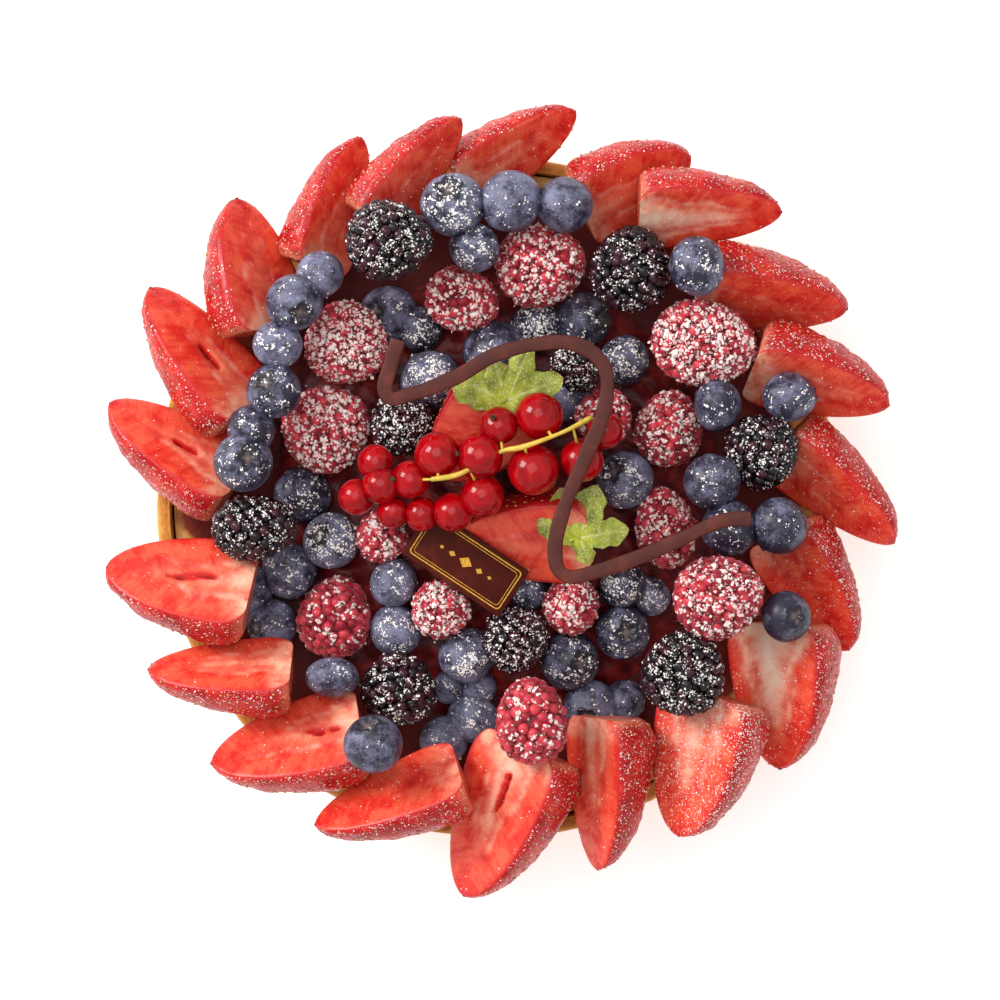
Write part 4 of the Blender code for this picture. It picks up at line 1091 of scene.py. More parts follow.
    def cut_face(self):
        """Points of the cut face and the values that colour its core, veins, rim and hollow."""
        pale, core_width, slit_from, slit_to, _ = self.look
        share, across = np.meshgrid(self.along, np.sin(np.linspace(-0.5, 0.5, self.ACROSS) * math.pi),
                                    indexing="ij")
        girths = np.broadcast_to(self.girths[:, None], share.shape)
        cuts = np.broadcast_to(self.cuts[:, None], share.shape)
        half = np.sqrt(np.maximum(girths ** 2 - cuts ** 2, 0.0))
        y = half * across
        points = np.stack(((share - 0.5) * self.length, y, cuts), axis=-1).reshape(-1, 3)
        share, across, y, half = share.ravel(), across.ravel(), y.ravel(), half.ravel()
        wobble = 1.0 + 0.24 * ripple(points, 11.0, self.seed + 1)
        core_here = core_width * (1.0 - 0.80 * share ** 1.5) * wobble
        distance = np.abs(across) / np.maximum(core_here, 0.05)
        fade = 1.0 - smooth_step(0.55, 0.92, share)
        inside = np.exp(-(distance / 0.85) ** 2)
        core = pale ** 1.4 * fade * inside * (0.95 - 0.45 * share)
        vein = 0.85 * pale * fade * np.exp(-((distance - 1.0) / 0.16) ** 2) * (1.0 - 0.6 * share)
        stem = (0.35 + 0.65 * pale) * (1.0 - smooth_step(0.0, 0.16 + 0.05 * wobble, share))
        mid = np.exp(-((np.abs(across) - 0.62) / 0.24) ** 2) * (1.0 - smooth_step(0.75, 1.0, share))
        rim = np.maximum(smooth_step(0.84, 1.0, np.abs(across)), smooth_step(0.93, 1.0, share))
        slit = np.zeros(len(points))
        if slit_to > slit_from:
            middle = 0.07 * np.sin(9.0 * share + self.seed)
            opening = smooth_step(slit_from, slit_from + 0.12, share)
            room = 0.085 * opening * (1.0 - smooth_step(slit_to - 0.12, slit_to, share))
            slit = np.exp(-((across - middle) / np.maximum(room, 1e-3)) ** 2) * (room > 0.01)
            slit *= 0.78 + 0.32 * ripple(points, 2.7, self.seed + 3)
            slit = np.clip(slit, 0.0, 1.0)
        points += self.worn(np.sign(across), half - np.abs(y))
        points[:, 2] += 0.30 * (1.0 - across ** 2) * np.sin(math.pi * np.clip(share, 0, 1))
        points[:, 2] += 0.10 * ripple(points, 3.0, self.seed + 2) * (1.0 - across ** 6) - 1.3 * slit
        points[:, 2] -= 0.16 * np.exp(-((distance - 1.0) / 0.3) ** 2) * pale * fade
        # Along the berry the pattern repeats each 1.5 mm, from core to skin only each 9 mm.
        along = (share * self.length - 0.55 * np.abs(y)) / 1.5
        flesh = np.stack((along, y / 9.0, np.full(len(y), 7.0 * self.seed)), axis=-1)
        return {"points": points, "flesh": flesh, "core": core, "vein": vein, "mid": mid, "stem": stem,
                "rim": rim, "slit": slit}


class CROSTATA_OT_shell(Operator):
    """Bake the shortcrust shell: straight side, sandy crumb, uneven rim"""

    bl_idname = "crostata.shell"
    bl_label = "Shortcrust shell"

    def execute(self, context):
        low, high = box_mm("crust")
        radius, top = (high[0] - low[0]) / 2.0, high[2]
        wall, floor = 4.0, 4.5
        profile = smooth_route((
            (0.0, 0.0), (radius - 12.0, 0.0), (radius - 2.2, 0.1), (radius - 0.5, 1.3), (radius - 0.1, 4.0),
            (radius - 0.15, 9.0), (radius, 14.0), (radius - 0.1, top - 2.6), (radius - 0.6, top - 0.9),
            (radius - 1.7, top - 0.35), (radius - wall + 1.0, top - 0.5), (radius - wall + 0.1, top - 1.4),
            (radius - wall - 0.2, 12.0), (radius - wall - 0.6, floor + 1.4), (radius - wall - 2.6, floor),
            (0.0, floor)), 4)
        sides = 240
        flat = turned(profile, sides)
        side = np.clip(flat[:, 2] / 3.0, 0.0, 1.0)
        out = flat[:, :2] / np.maximum(np.linalg.norm(flat[:, :2], axis=1, keepdims=True), 1e-6)
        uneven = 0.28 * ripple(flat, 18.0, 3) + 0.12 * ripple(flat, 4.5, 4)
        flat[:, :2] -= out * (np.clip(uneven + 0.2, 0.0, 1.0) * side)[:, None]
        rim = smooth_step(top - 2.5, top, flat[:, 2])
        flat[:, 2] += rim * (0.25 * ripple(flat, 14.0, 5) + 0.12 * ripple(flat, 3.5, 6) - 0.15)
        brown = 0.16 * rim + 0.10 * (1.0 - smooth_step(0.0, 5.0, flat[:, 2]))
        faces = grid_faces(len(profile), sides, closed=True)
        shell = make_mesh("shortcrust_shell", flat, faces, baked_shortcrust(), {"brown": brown})
        stand_for(shell, "shortcrust", "crust")
        return {"FINISHED"}


class CROSTATA_OT_custard(Operator):
    """Fill the shell with custard"""

    bl_idname = "crostata.custard"
    bl_label = "Custard"

    def execute(self, context):
        low, high = box_mm("custard")
        edge, top = (high[0] - low[0]) / 2.0, high[2]
        profile = smooth_route((
            (0.0, low[2]), (edge - 3.0, low[2]), (edge - 0.5, low[2] + 1.6), (edge, top - 2.0),
            (edge - 0.1, top - 0.4), (edge - 1.2, top - 0.35), (edge - 8.0, top - 0.2),
            (edge - 30.0, top - 0.1), (0.0, top - 0.1)), 5)
        sides = 160
        flat = turned(profile, sides)
        upper = smooth_step(top - 1.5, top, flat[:, 2])
        flat[:, 2] += upper * (0.12 * ripple(flat, 16.0, 8) - 0.1)
        # Painted shade: inside a radius of 74 mm the custard is darkened, as the shade under and between the
        # fruit.
        soaked = 0.50 * (1.0 - smooth_step(74.0, edge, np.hypot(flat[:, 0], flat[:, 1])))
        faces = grid_faces(len(profile), sides, closed=True)
        custard = make_mesh("custard_filling", flat, faces, set_custard(), {"soaked": soaked})
        stand_for(custard, "custard", "custard")
        return {"FINISHED"}


class CROSTATA_OT_strawberry_halves(Operator):
    """Lay the ring of strawberry halves, cut face up, and their seeds"""

    bl_idname = "crostata.strawberry_halves"
    bl_label = "Strawberry halves"

    def execute(self, context):
        surfaces = [strawberry_skin(), cut_strawberry_flesh()]
        seeds = Heap()
        for number, (row, look) in enumerate(zip(RING_STRAWBERRIES, HALF_LOOKS), start=1):
            tip_x, tip_y, stem_x, stem_y, width, lean = row
            node = f"strawberry_{number:02d}"
            lean = math.radians(lean)
            heading = math.atan2(tip_y - stem_y, tip_x - stem_x)
            turn = turn_matrix(lean, math.radians(2.0), heading)
            length = math.hypot(tip_x - stem_x, tip_y - stem_y) + SHOULDER
            half = HalfStrawberry(length, plan_radius(width, lean), look, number)
            place = np.array((tip_x - 0.5 * length * math.cos(heading),
                              tip_y - 0.5 * length * math.sin(heading),
                              box_mm(node)[0][2] - half.lowest(turn)))
            whole, slots = half.build(lambda points, turn=turn, place=place: points @ turn.T + place, seeds)
            berry = whole.make(f"half_{node}", surfaces, slots=slots)
            stand_for(berry, "strawberry", node)
        scattered = seeds.make("strawberry_seeds", strawberry_seed())
        stand_for(scattered, "strawberry")
        return {"FINISHED"}


def whole_blueberry(heap, centre, size, crown, seed, handled=0.0):
    """One blueberry with a five-pointed crown; the more it was handled, the less bloom it has."""
    source = np.random.default_rng(seed)
    if crown is None:
        turn = source.uniform(0.0, math.tau)
        toward = np.array((math.cos(turn), math.sin(turn), source.uniform(-0.9, -0.1)))
    else:
        toward = facing(*crown)
    rings = np.concatenate((np.linspace(0.0, 0.60, 13), np.linspace(0.68, math.pi, 17)))
    sides = 34
    angle, around = np.meshgrid(rings, np.linspace(0.0, math.tau, sides, endpoint=False), indexing="ij")
    angle, around = angle.ravel(), around.ravel()
    star = (0.5 + 0.5 * np.cos(5.0 * around + source.uniform(0.0, 6.0) + 0.25 * np.sin(2 * around))) ** 0.8
    ridge = 0.27 + 0.17 * star
    radius = 1.0 + 0.085 * (0.40 + 0.60 * star) * np.exp(-((angle - ridge) / 0.065) ** 2)
    radius -= 0.13 * (1.0 - smooth_step(0.55, 1.0, angle / ridge))
    points = on_ball(angle, around, 0.95) * radius[:, None]
    points *= (1.0 + 0.018 * ripple(points, 1.6, seed + 100))[:, None]
    points = (points @ turn_to(toward).T) * np.asarray(size) / 2.0 + np.asarray(centre)
    faces = grid_faces(len(rings), sides, closed=True)[:, ::-1]
    heap.put(points, faces, crown=np.clip(angle / (ridge + 0.12), 0.0, 1.0),
             tint=np.full(len(points), source.uniform(-0.5, 0.5) - handled))


def core_level(radius):
    """Height of the crushed berries under the heap."""
    return CUSTARD_LEVEL + GAP + CORE_RISE * (1.0 - min(radius / CORE_RADIUS, 1.0) ** 3)


class CROSTATA_OT_blueberries(Operator):
    """Heap the blueberries over a layer of crushed berries, lay the rows and the lone ones"""

    bl_idname = "crostata.blueberries"
    bl_label = "Blueberries"

    def execute(self, context):
        skin = blueberry_skin()
        heap = Heap()
        for number, (x, y, diameter, rise, crown, _) in enumerate(HEAP_BLUEBERRIES):
            on_core = core_level(math.hypot(x, y)) + SUNK * diameter + rise
            height = max(on_core, CUSTARD_LEVEL + GAP + 0.5 * diameter)
            whole_blueberry(heap, (x, y, height), (diameter,) * 3, crown, 200 + number)
        stand_for(heap.make("heap_of_blueberries", skin), "blueberry", "blueberry_heap")
        stand_for(self.gap_shade(), "blueberry", "blueberry_heap")
        for name, row in BLUEBERRY_ROWS.items():
            lowest = min(height - diameter / 2 for _, _, diameter, height, _, _ in row)
            lift = box_mm(name)[0][2] - lowest
            berries = Heap()
            for number, (x, y, diameter, height, crown, sugared) in enumerate(row):
                whole_blueberry(berries, (x, y, height + lift), (diameter,) * 3, crown,
                                300 + 10 * len(name) + number, 0.5 * max(1.0 - sugared, 0.0))
            together = berries.make(name.replace("blueberry_row", "row_of_blueberries"), skin)
            stand_for(together, "blueberry", name)
        for number, (name, row) in enumerate(LONE_BLUEBERRIES.items()):
            x, y, width, depth, height, crown, sugared = row
            low, high = box_mm(name)
            berry = Heap()
            whole_blueberry(berry, (x, y, (low[2] + high[2]) / 2), (width, depth, height), crown,
                            500 + number, 0.5 * (1.0 - sugared))
            stand_for(berry.make(f"whole_{name}", skin), "blueberry", name)
        return {"FINISHED"}

    def gap_shade(self):
        """Crushed fruit under the heap: an uneven top and a flat underside just above the custard, dark as
        painted shade for the gaps between the berries.
        """
        rings, sides = 40, 150
        top = turned([(r, core_level(r)) for r in np.linspace(0.0, CORE_RADIUS, rings)], sides)
        inside = 1.0 - smooth_step(CORE_RADIUS - 6.0, CORE_RADIUS, np.hypot(top[:, 0], top[:, 1]))
        top[:, 2] += inside * (0.9 * ripple(top, 6.0, 21) + 0.5 * ripple(top, 2.5, 22) - 0.3)
        under = turned([(r, CUSTARD_LEVEL + GAP) for r in (CORE_RADIUS, 0.0)], sides)
        faces = grid_faces(rings + 2, sides, closed=True)[:, ::-1]
        return make_mesh("crushed_berries", np.vstack((top, under)), faces, berry_juice())


def drupelet_berry(name, row, pitch, surface, seed, hairs):
    """Berry of many round drupelets round a middle that is painted dark as the shade between them."""
    x, y, width, depth, height, turn, _, upright = row
    source = np.random.default_rng(seed)
    low, high = box_mm(name)
    centre = np.array((x, y, (low[2] + high[2]) / 2))
    semi = np.array((max(width, depth), min(width, depth), height)) / 2.0
    count = int(4.0 * math.pi * np.prod(semi - 0.4 * pitch) ** (2.0 / 3.0) / (0.866 * pitch ** 2))
    place = np.arange(count) + 0.5
    polar = np.arccos(1.0 - 2.0 * place / count)
    around = math.pi * (1.0 + 5.0 ** 0.5) * place
    ball = on_ball(polar, around) @ turn_to((1.0 - upright, 0.05, upright)).T
    ball += source.normal(scale=0.03, size=ball.shape)
    ball /= np.linalg.norm(ball, axis=1, keepdims=True)
    spin = turn_matrix(z=math.radians(turn))
    taper = np.stack((np.ones(count), 1.0 - 0.14 * ball[:, 0], 1.0 - 0.10 * ball[:, 0]), axis=-1)
    inner = semi - 0.52 * pitch
    berry = Heap()
    cap, faces, share = dome(4, 8, math.radians(104))
    for number in range(count):
        spot = ball[number] * inner * taper[number]
        out = ball[number] / semi
        out /= np.linalg.norm(out)
        size = pitch * np.array((source.uniform(0.58, 0.68), source.uniform(0.58, 0.68),
                                 source.uniform(0.50, 0.60)))
        bump = (cap * size) @ turn_matrix(z=source.uniform(0, math.tau)).T @ turn_to(out).T + spot
        berry.put(bump @ spin.T + centre, faces, tint=np.full(len(bump), source.uniform(0.0, 1.0)),
                  cleft=smooth_step(0.62, 0.95, share))
        if hairs and source.random() < 0.5 and out[2] > -0.2:
            root = spot + out * size[2] * 0.95
            bend = source.normal(scale=0.5, size=3)
            route = [root, root + out * 0.5 + bend * 0.15, root + out * 0.85 + bend * 0.6]
            hair, hair_faces = tube(np.array(route) @ spin.T + centre, (0.055, 0.045, 0.02), sides=3)
            berry.put(hair, hair_faces, tint=np.full(len(hair), 1.2), cleft=np.zeros(len(hair)))
    # The middle is painted fully dark, as the shade seen between the drupelets.
    middle, faces, _ = dome(12, 24, math.pi)
    middle = middle * (inner * 0.98)
    middle[:, 1:] *= np.stack((1.0 - 0.14 * middle[:, 0] / inner[0], 1.0 - 0.10 * middle[:, 0] / inner[0]),
                              axis=-1)
    berry.put(middle @ spin.T + centre, faces, tint=np.zeros(len(middle)), cleft=np.ones(len(middle)))
    return berry.make(f"ripe_{name}", surface)


class CROSTATA_OT_raspberries(Operator):
    """Build the raspberries from their drupelets"""

    bl_idname = "crostata.raspberries"
    bl_label = "Raspberries"

    def execute(self, context):
        pitch = context.scene.crostata_sizes.raspberry_drupelet / MM
        skin = raspberry_skin()
        for number, (name, row) in enumerate(RASPBERRIES.items()):
            stand_for(drupelet_berry(name, row, pitch, skin, 600 + number, True), "raspberry", name)
        return {"FINISHED"}


class CROSTATA_OT_brambles(Operator):
    """Build the dark bramble fruits from their drupelets"""

    bl_idname = "crostata.brambles"
    bl_label = "Bramble fruits"

    def execute(self, context):
        pitch = context.scene.crostata_sizes.bramble_drupelet / MM
        skin = bramble_skin()
        for number, (name, row) in enumerate(DARK_BERRIES.items()):
            stand_for(drupelet_berry(name, row, pitch, skin, 700 + number, False), "bramble", name)
        return {"FINISHED"}


def leafy_sepal(heap, root, heading, length, width, lift, shape, seed):
    """Thin, wavy, pointed leaf from root outwards."""
    rows, columns = 22, 13
    share, across = np.meshgrid(np.linspace(0.0, 1.0, rows), np.linspace(-1.0, 1.0, columns), indexing="ij")
    share, across = share.ravel(), across.ravel()
    forward = np.array((math.cos(heading), math.sin(heading), 0.0))
    sideways = np.array((-forward[1], forward[0], 0.0))
    half = 0.46 * width * np.maximum((0.55 + 0.9 * share) * np.clip(1.0 - share ** 3, 0.0, 1.0) ** 0.75, 0.02)
    half *= 1.0 + 0.10 * np.sin(19.0 * share + seed) * smooth_step(0.2, 0.5, share)
    rise = lift * share ** 1.5 + 0.45 * np.sin(6.0 * share + heading)
    rise -= 0.10 * width * np.abs(across) * (1.0 - share)
    curl = 0.55 * np.sin(9.0 * share + 2.0 * across + seed) * np.abs(across) ** 1.5
    curl -= 0.35 * np.exp(-(across / 0.16) ** 2)
    points = root + np.outer(length * share, forward) + np.outer(half * across, sideways)
    points[:, 2] += rise + curl
    vein = np.exp(-(across / 0.07) ** 2) * (1.0 - share)
    branches = np.abs(np.sin(math.pi * (5.0 * share - 1.6 * np.abs(across))))
    vein = np.maximum(vein, 0.55 * (1.0 - smooth_step(0.0, 0.22, branches)) * (1.0 - np.abs(across)))
    both = np.vstack((points, points - np.array((0.0, 0.0, SEPAL_THICKNESS))))
    faces = [tuple(face) for face in grid_faces(rows, columns)[:, ::-1]]
    faces += [tuple(face) for face in grid_faces(rows, columns, start=rows * columns)]
    rim = list(range(columns)) + [row * columns + columns - 1 for row in range(1, rows)]
    rim += [(rows - 1) * columns + column for column in range(columns - 2, -1, -1)]
    rim += [row * columns for row in range(rows - 2, 0, -1)]
    for near, after in zip(rim, rim[1:] + rim[:1]):
        faces.append((near, near + rows * columns, after + rows * columns, after))
    heap.put(shape(both), faces, vein=np.tile(vein, 2), share=np.tile(share, 2))


class CROSTATA_OT_top_strawberries(Operator):
    """Lay the two strawberry halves with their leafy caps on the heap"""

    bl_idname = "crostata.top_strawberries"
    bl_label = "Strawberries on top"

    def execute(self, context):
        surfaces = [strawberry_skin(), cut_strawberry_flesh()]
        leaf = strawberry_sepal()
        seeds = Heap()
        for number, (name, (body, sepals)) in enumerate(TOP_STRAWBERRIES.items()):
            stem_x, stem_y, heading, length, width, lean = body
            heading, lean = math.radians(heading), math.radians(lean)
            # The right one is turned a little further than its solid, so that seeded skin shows as well.
            turn = turn_matrix(lean - math.radians(14.0 * number), math.radians(3.0), heading)
            look = (0.05 + 0.45 * number, 0.3, 0.0, 0.0, 0.1)
            half = HalfStrawberry(length, plan_radius(width, lean), look, 40 + number)
            ahead = np.array((length / 2, 0.0, 0.0))
            place = np.array((stem_x, stem_y, box_mm(name)[0][2] - half.lowest(turn, ahead)))
            whole, slots = half.build(
                lambda points, turn=turn, place=place, ahead=ahead: (points + ahead) @ turn.T + place, seeds)
            stand_for(whole.make(f"body_of_{name}", surfaces, slots=slots), "strawberry", name)
            leaves = Heap()
            root = np.array((CAP_INWARD * math.cos(heading), CAP_INWARD * math.sin(heading), CAP_HEIGHT))
            hub, faces, share = dome(7, 14, math.radians(150))
            hub = hub * np.array((3.6, 3.6, 3.0)) + root - np.array((0.0, 0.0, 2.6))
            leaves.put(hub + place, faces, vein=np.full(len(hub), 0.2), share=0.3 * share)
            for step, (toward, reach, broad, lift) in enumerate(sepals):
                start = root + np.array((0.0, 0.0, 0.5 + 0.35 * step))
                leafy_sepal(leaves, start, math.radians(toward), reach, broad, lift,
                            lambda points: points + place, 10 * number + step)
            stand_for(leaves.make(f"leafy_cap_{name}", leaf), "strawberry", name)
        stand_for(seeds.make("seeds_of_top_strawberries", strawberry_seed()), "strawberry")
        return {"FINISHED"}


class CROSTATA_OT_redcurrants(Operator):
    """Lay the sprig of redcurrants with its stalks"""

    bl_idname = "crostata.redcurrants"
    bl_label = "Redcurrants"

    def execute(self, context):
        lowest = min(height - diameter / 2 for _, _, diameter, height, _ in CURRANTS)
        lift = box_mm("redcurrant_sprig")[0][2] - lowest
        fruit, ends, stalks = Heap(), Heap(), Heap()
        source = np.random.default_rng(31)
        for x, y, diameter, height, end in CURRANTS:
            turn = source.uniform(0.0, math.tau)
            toward = (math.cos(turn), math.sin(turn), -0.7) if end is None else facing(*end)
            centre = np.array((x, y, height + lift))
            rings, sides = 22, 40
            angle, around = np.meshgrid(np.linspace(0.0, math.pi, rings),
                                        np.linspace(0.0, math.tau, sides, endpoint=False), indexing="ij")
            angle, around = angle.ravel(), around.ravel()
            radius = 1.0 - 0.05 * np.exp(-(angle / 0.22) ** 2)
            radius -= 0.04 * np.exp(-((math.pi - angle) / 0.25) ** 2)
            aim = turn_to(toward)
            ball = on_ball(angle, around, 0.97) * radius[:, None]
            points = (ball * diameter / 2) @ aim.T + centre
            line = (1.0 - smooth_step(0.0, 0.30, np.abs(np.sin(5.0 * around)))) * 0.18 * np.sin(angle)
            fruit.put(points, grid_faces(rings, sides, closed=True)[:, ::-1], line=line)
            base = np.array((0.0, 0.0, diameter / 2 * 0.93))
            for petal in range(6):
                lean = petal * math.tau / 6 + source.uniform(-0.3, 0.3)
                out = np.array((math.cos(lean), math.sin(lean), 0.0))
                route = [base + out * 0.35, base + out * 0.55 + np.array((0, 0, 0.9)),
                         base + out * source.uniform(0.1, 0.8) + np.array((0, 0, source.uniform(1.3, 1.9)))]
                tuft, faces = tube(np.array(route) @ aim.T + centre, (0.34, 0.30, 0.10), sides=5)
                ends.put(tuft, faces)
        stem = np.array(SPRIG_STEM) + np.array((0.0, 0.0, lift))
        route = smooth_route(stem, 8)
        stalks.put(*tube(route, 0.62 + 0.12 * np.sin(np.linspace(0.0, 14.0, len(route))), sides=10))
        for x, y, diameter, height, end in CURRANTS:
            berry = np.array((x, y, height + lift))
            gaps = np.linalg.norm(route - berry, axis=1)
            start = route[int(gaps.argmin())]
            if gaps.min() > diameter / 2 + 6.0:
                continue
            toward = (berry - start) / np.linalg.norm(berry - start)
            finish = berry - toward * (diameter / 2 - 0.3)
            middle = (start + finish) / 2 + np.array((0.0, 0.0, 0.5))
            pedicel = smooth_route((start, middle, finish), 4)
            stalks.put(*tube(pedicel, np.linspace(0.34, 0.42, len(pedicel)), sides=7))
        stand_for(fruit.make("redcurrants", redcurrant_skin()), "redcurrant", "redcurrant_sprig")
        stand_for(ends.make("redcurrant_flower_ends", dried_flower_end()), "redcurrant", "redcurrant_sprig")
        stand_for(stalks.make("redcurrant_stalks", fresh_stalk()), "redcurrant", "redcurrant_sprig")
        return {"FINISHED"}


class CROSTATA_OT_ribbon(Operator):
    """Pour the chocolate squiggle"""

    bl_idname = "crostata.ribbon"
    bl_label = "Chocolate ribbon"

    def execute(self, context):
        top = box_mm("chocolate_ribbon")[1][2]
        flat = np.array([(x, y, top) for x, y in RIBBON_ROUTE])
        route = smooth_route(flat, 6)
        section = []
        half, thick, bevel = RIBBON_WIDTH / 2, RIBBON_THICKNESS, RIBBON_BEVEL
        for corner_y, corner_z, start in ((half, 0.0, 0.0), (half, -thick, -90.0), (-half, -thick, -180.0),
                                          (-half, 0.0, -270.0)):
            inset = np.array((corner_y - math.copysign(bevel, corner_y),
                              corner_z - (bevel if corner_z == 0.0 else -bevel)))
            for step in range(4):
                turn = math.radians(90.0 + start - 30.0 * step)
                section.append(inset + bevel * np.array((math.cos(turn), math.sin(turn))))
        section = np.array(section)
        rings = []
        for place, point in enumerate(route):
            along = route[min(place + 1, len(route) - 1)] - route[max(place - 1, 0)]
            along /= np.linalg.norm(along)
            side = np.array((-along[1], along[0], 0.0))
            uneven = 1.0 + 0.05 * math.sin(0.21 * place) + 0.03 * math.sin(0.57 * place + 1.0)
            ring = point + np.outer(section[:, 0] * uneven, side) + np.outer(section[:, 1], (0.0, 0.0, 1.0))
            rings.append(ring)
        count = len(section)
        points = np.vstack(rings)
        faces = [tuple(face) for face in grid_faces(len(route), count, closed=True)[:, ::-1]]
        faces.append(tuple(range(count)))
        faces.append(tuple(range(len(points) - 1, len(points) - 1 - count, -1)))
        ribbon = make_mesh("poured_ribbon", points, faces, set_dark_chocolate(0.3))
        ribbon.data.set_sharp_from_angle(angle=math.radians(60))
        stand_for(ribbon, "chocolate", "chocolate_ribbon")
        return {"FINISHED"}


class CROSTATA_OT_plaque(Operator):
    """Set the chocolate plaque with its plain gold border"""

    bl_idname = "crostata.plaque"
    bl_label = "Chocolate plaque"

    def execute(self, context):
        low, high = box_mm("chocolate_plaque")
        centre = np.array((*PLAQUE_CENTRE, (low[2] + high[2]) / 2))
        turn = turn_matrix(y=math.radians(PLAQUE_PITCH), z=math.radians(PLAQUE_HEADING))
        length, width, thick = PLAQUE_SIZE
        rings = []
        for inset, level in ((0.25, -0.5), (0.0, -0.36), (0.0, 0.36), (0.22, 0.5)):
            ring = self.outline(length / 2 - inset, width / 2 - inset, 0.7)
            rings.append(np.column_stack((ring, np.full(len(ring), level * thick))))
        count = len(rings[0])
        points = np.vstack(rings)
        faces = [tuple(face) for face in grid_faces(len(rings), count, closed=True)]
        faces += [tuple(range(count - 1, -1, -1)), tuple(range(len(points) - count, len(points)))]
        slab = make_mesh("plaque_slab", points @ turn.T + centre, faces, set_dark_chocolate(0.1))
        slab.data.set_sharp_from_angle(angle=math.radians(40))
        stand_for(slab, "chocolate", "chocolate_plaque")
        print_ = Heap()
        level = 0.5 * thick + 0.03
        for margin, line in ((1.3, 0.30), (2.1, 0.16)):
            outer = self.outline(length / 2 - margin, width / 2 - margin, 1.0)
            inner = self.outline(length / 2 - margin - line, width / 2 - margin - line, 0.8)
            levels = ((outer, level - 0.1), (outer, level), (inner, level), (inner, level - 0.1))
            both = np.vstack([np.column_stack((ring, np.full(count, height))) for ring, height in levels])
            print_.put(both @ turn.T + centre, grid_faces(4, count, closed=True))
        for x, size in PLAQUE_LOZENGES:
            lozenge = np.array([(x + size * 1.3, 0.0, level), (x, size, level), (x - size * 1.3, 0.0, level),
                                (x, -size, level)])
            under = lozenge - np.array((0.0, 0.0, 0.1))
            print_.put(np.vstack((under, lozenge)) @ turn.T + centre, [(4, 5, 6, 7)] + [
                (corner, (corner + 1) % 4, (corner + 1) % 4 + 4, corner + 4) for corner in range(4)])
        border = print_.make("plaque_gold_border", gold_food_paint(), smooth=False)
        stand_for(border, "chocolate", "chocolate_plaque")
        return {"FINISHED"}

    @staticmethod
    def outline(half_length, half_width, corner):
        """Rectangle with rounded corners, counter-clockwise."""
        points = []
        for sign_x, sign_y, start in ((1, 1, 0), (-1, 1, 90), (-1, -1, 180), (1, -1, 270)):
            middle = np.array((sign_x * (half_length - corner), sign_y * (half_width - corner)))
            for step in range(5):
                turn = math.radians(start + 22.5 * step)
                points.append(middle + corner * np.array((math.cos(turn), math.sin(turn))))
        return np.array(points)


class SugarShare:
    """How much icing sugar falls and stays at each place of the tart."""

    def __init__(self):
        spots = []
        for x, y, diameter, _, _, share in HEAP_BLUEBERRIES:
            spots.append((x, y, diameter, share))
        for row in BLUEBERRY_ROWS.values():
            spots += [(x, y, diameter, share) for x, y, diameter, _, _, share in row]
        spots += [(row[0], row[1], row[2], row[6]) for row in LONE_BLUEBERRIES.values()]
        self.spots = np.array(spots)

    def blueberry(self, x, y):
        """Share on the blueberry nearest to a place."""
        gaps = np.hypot(self.spots[:, 0] - x, self.spots[:, 1] - y) / self.spots[:, 2]
        return self.spots[int(gaps.argmin()), 3]


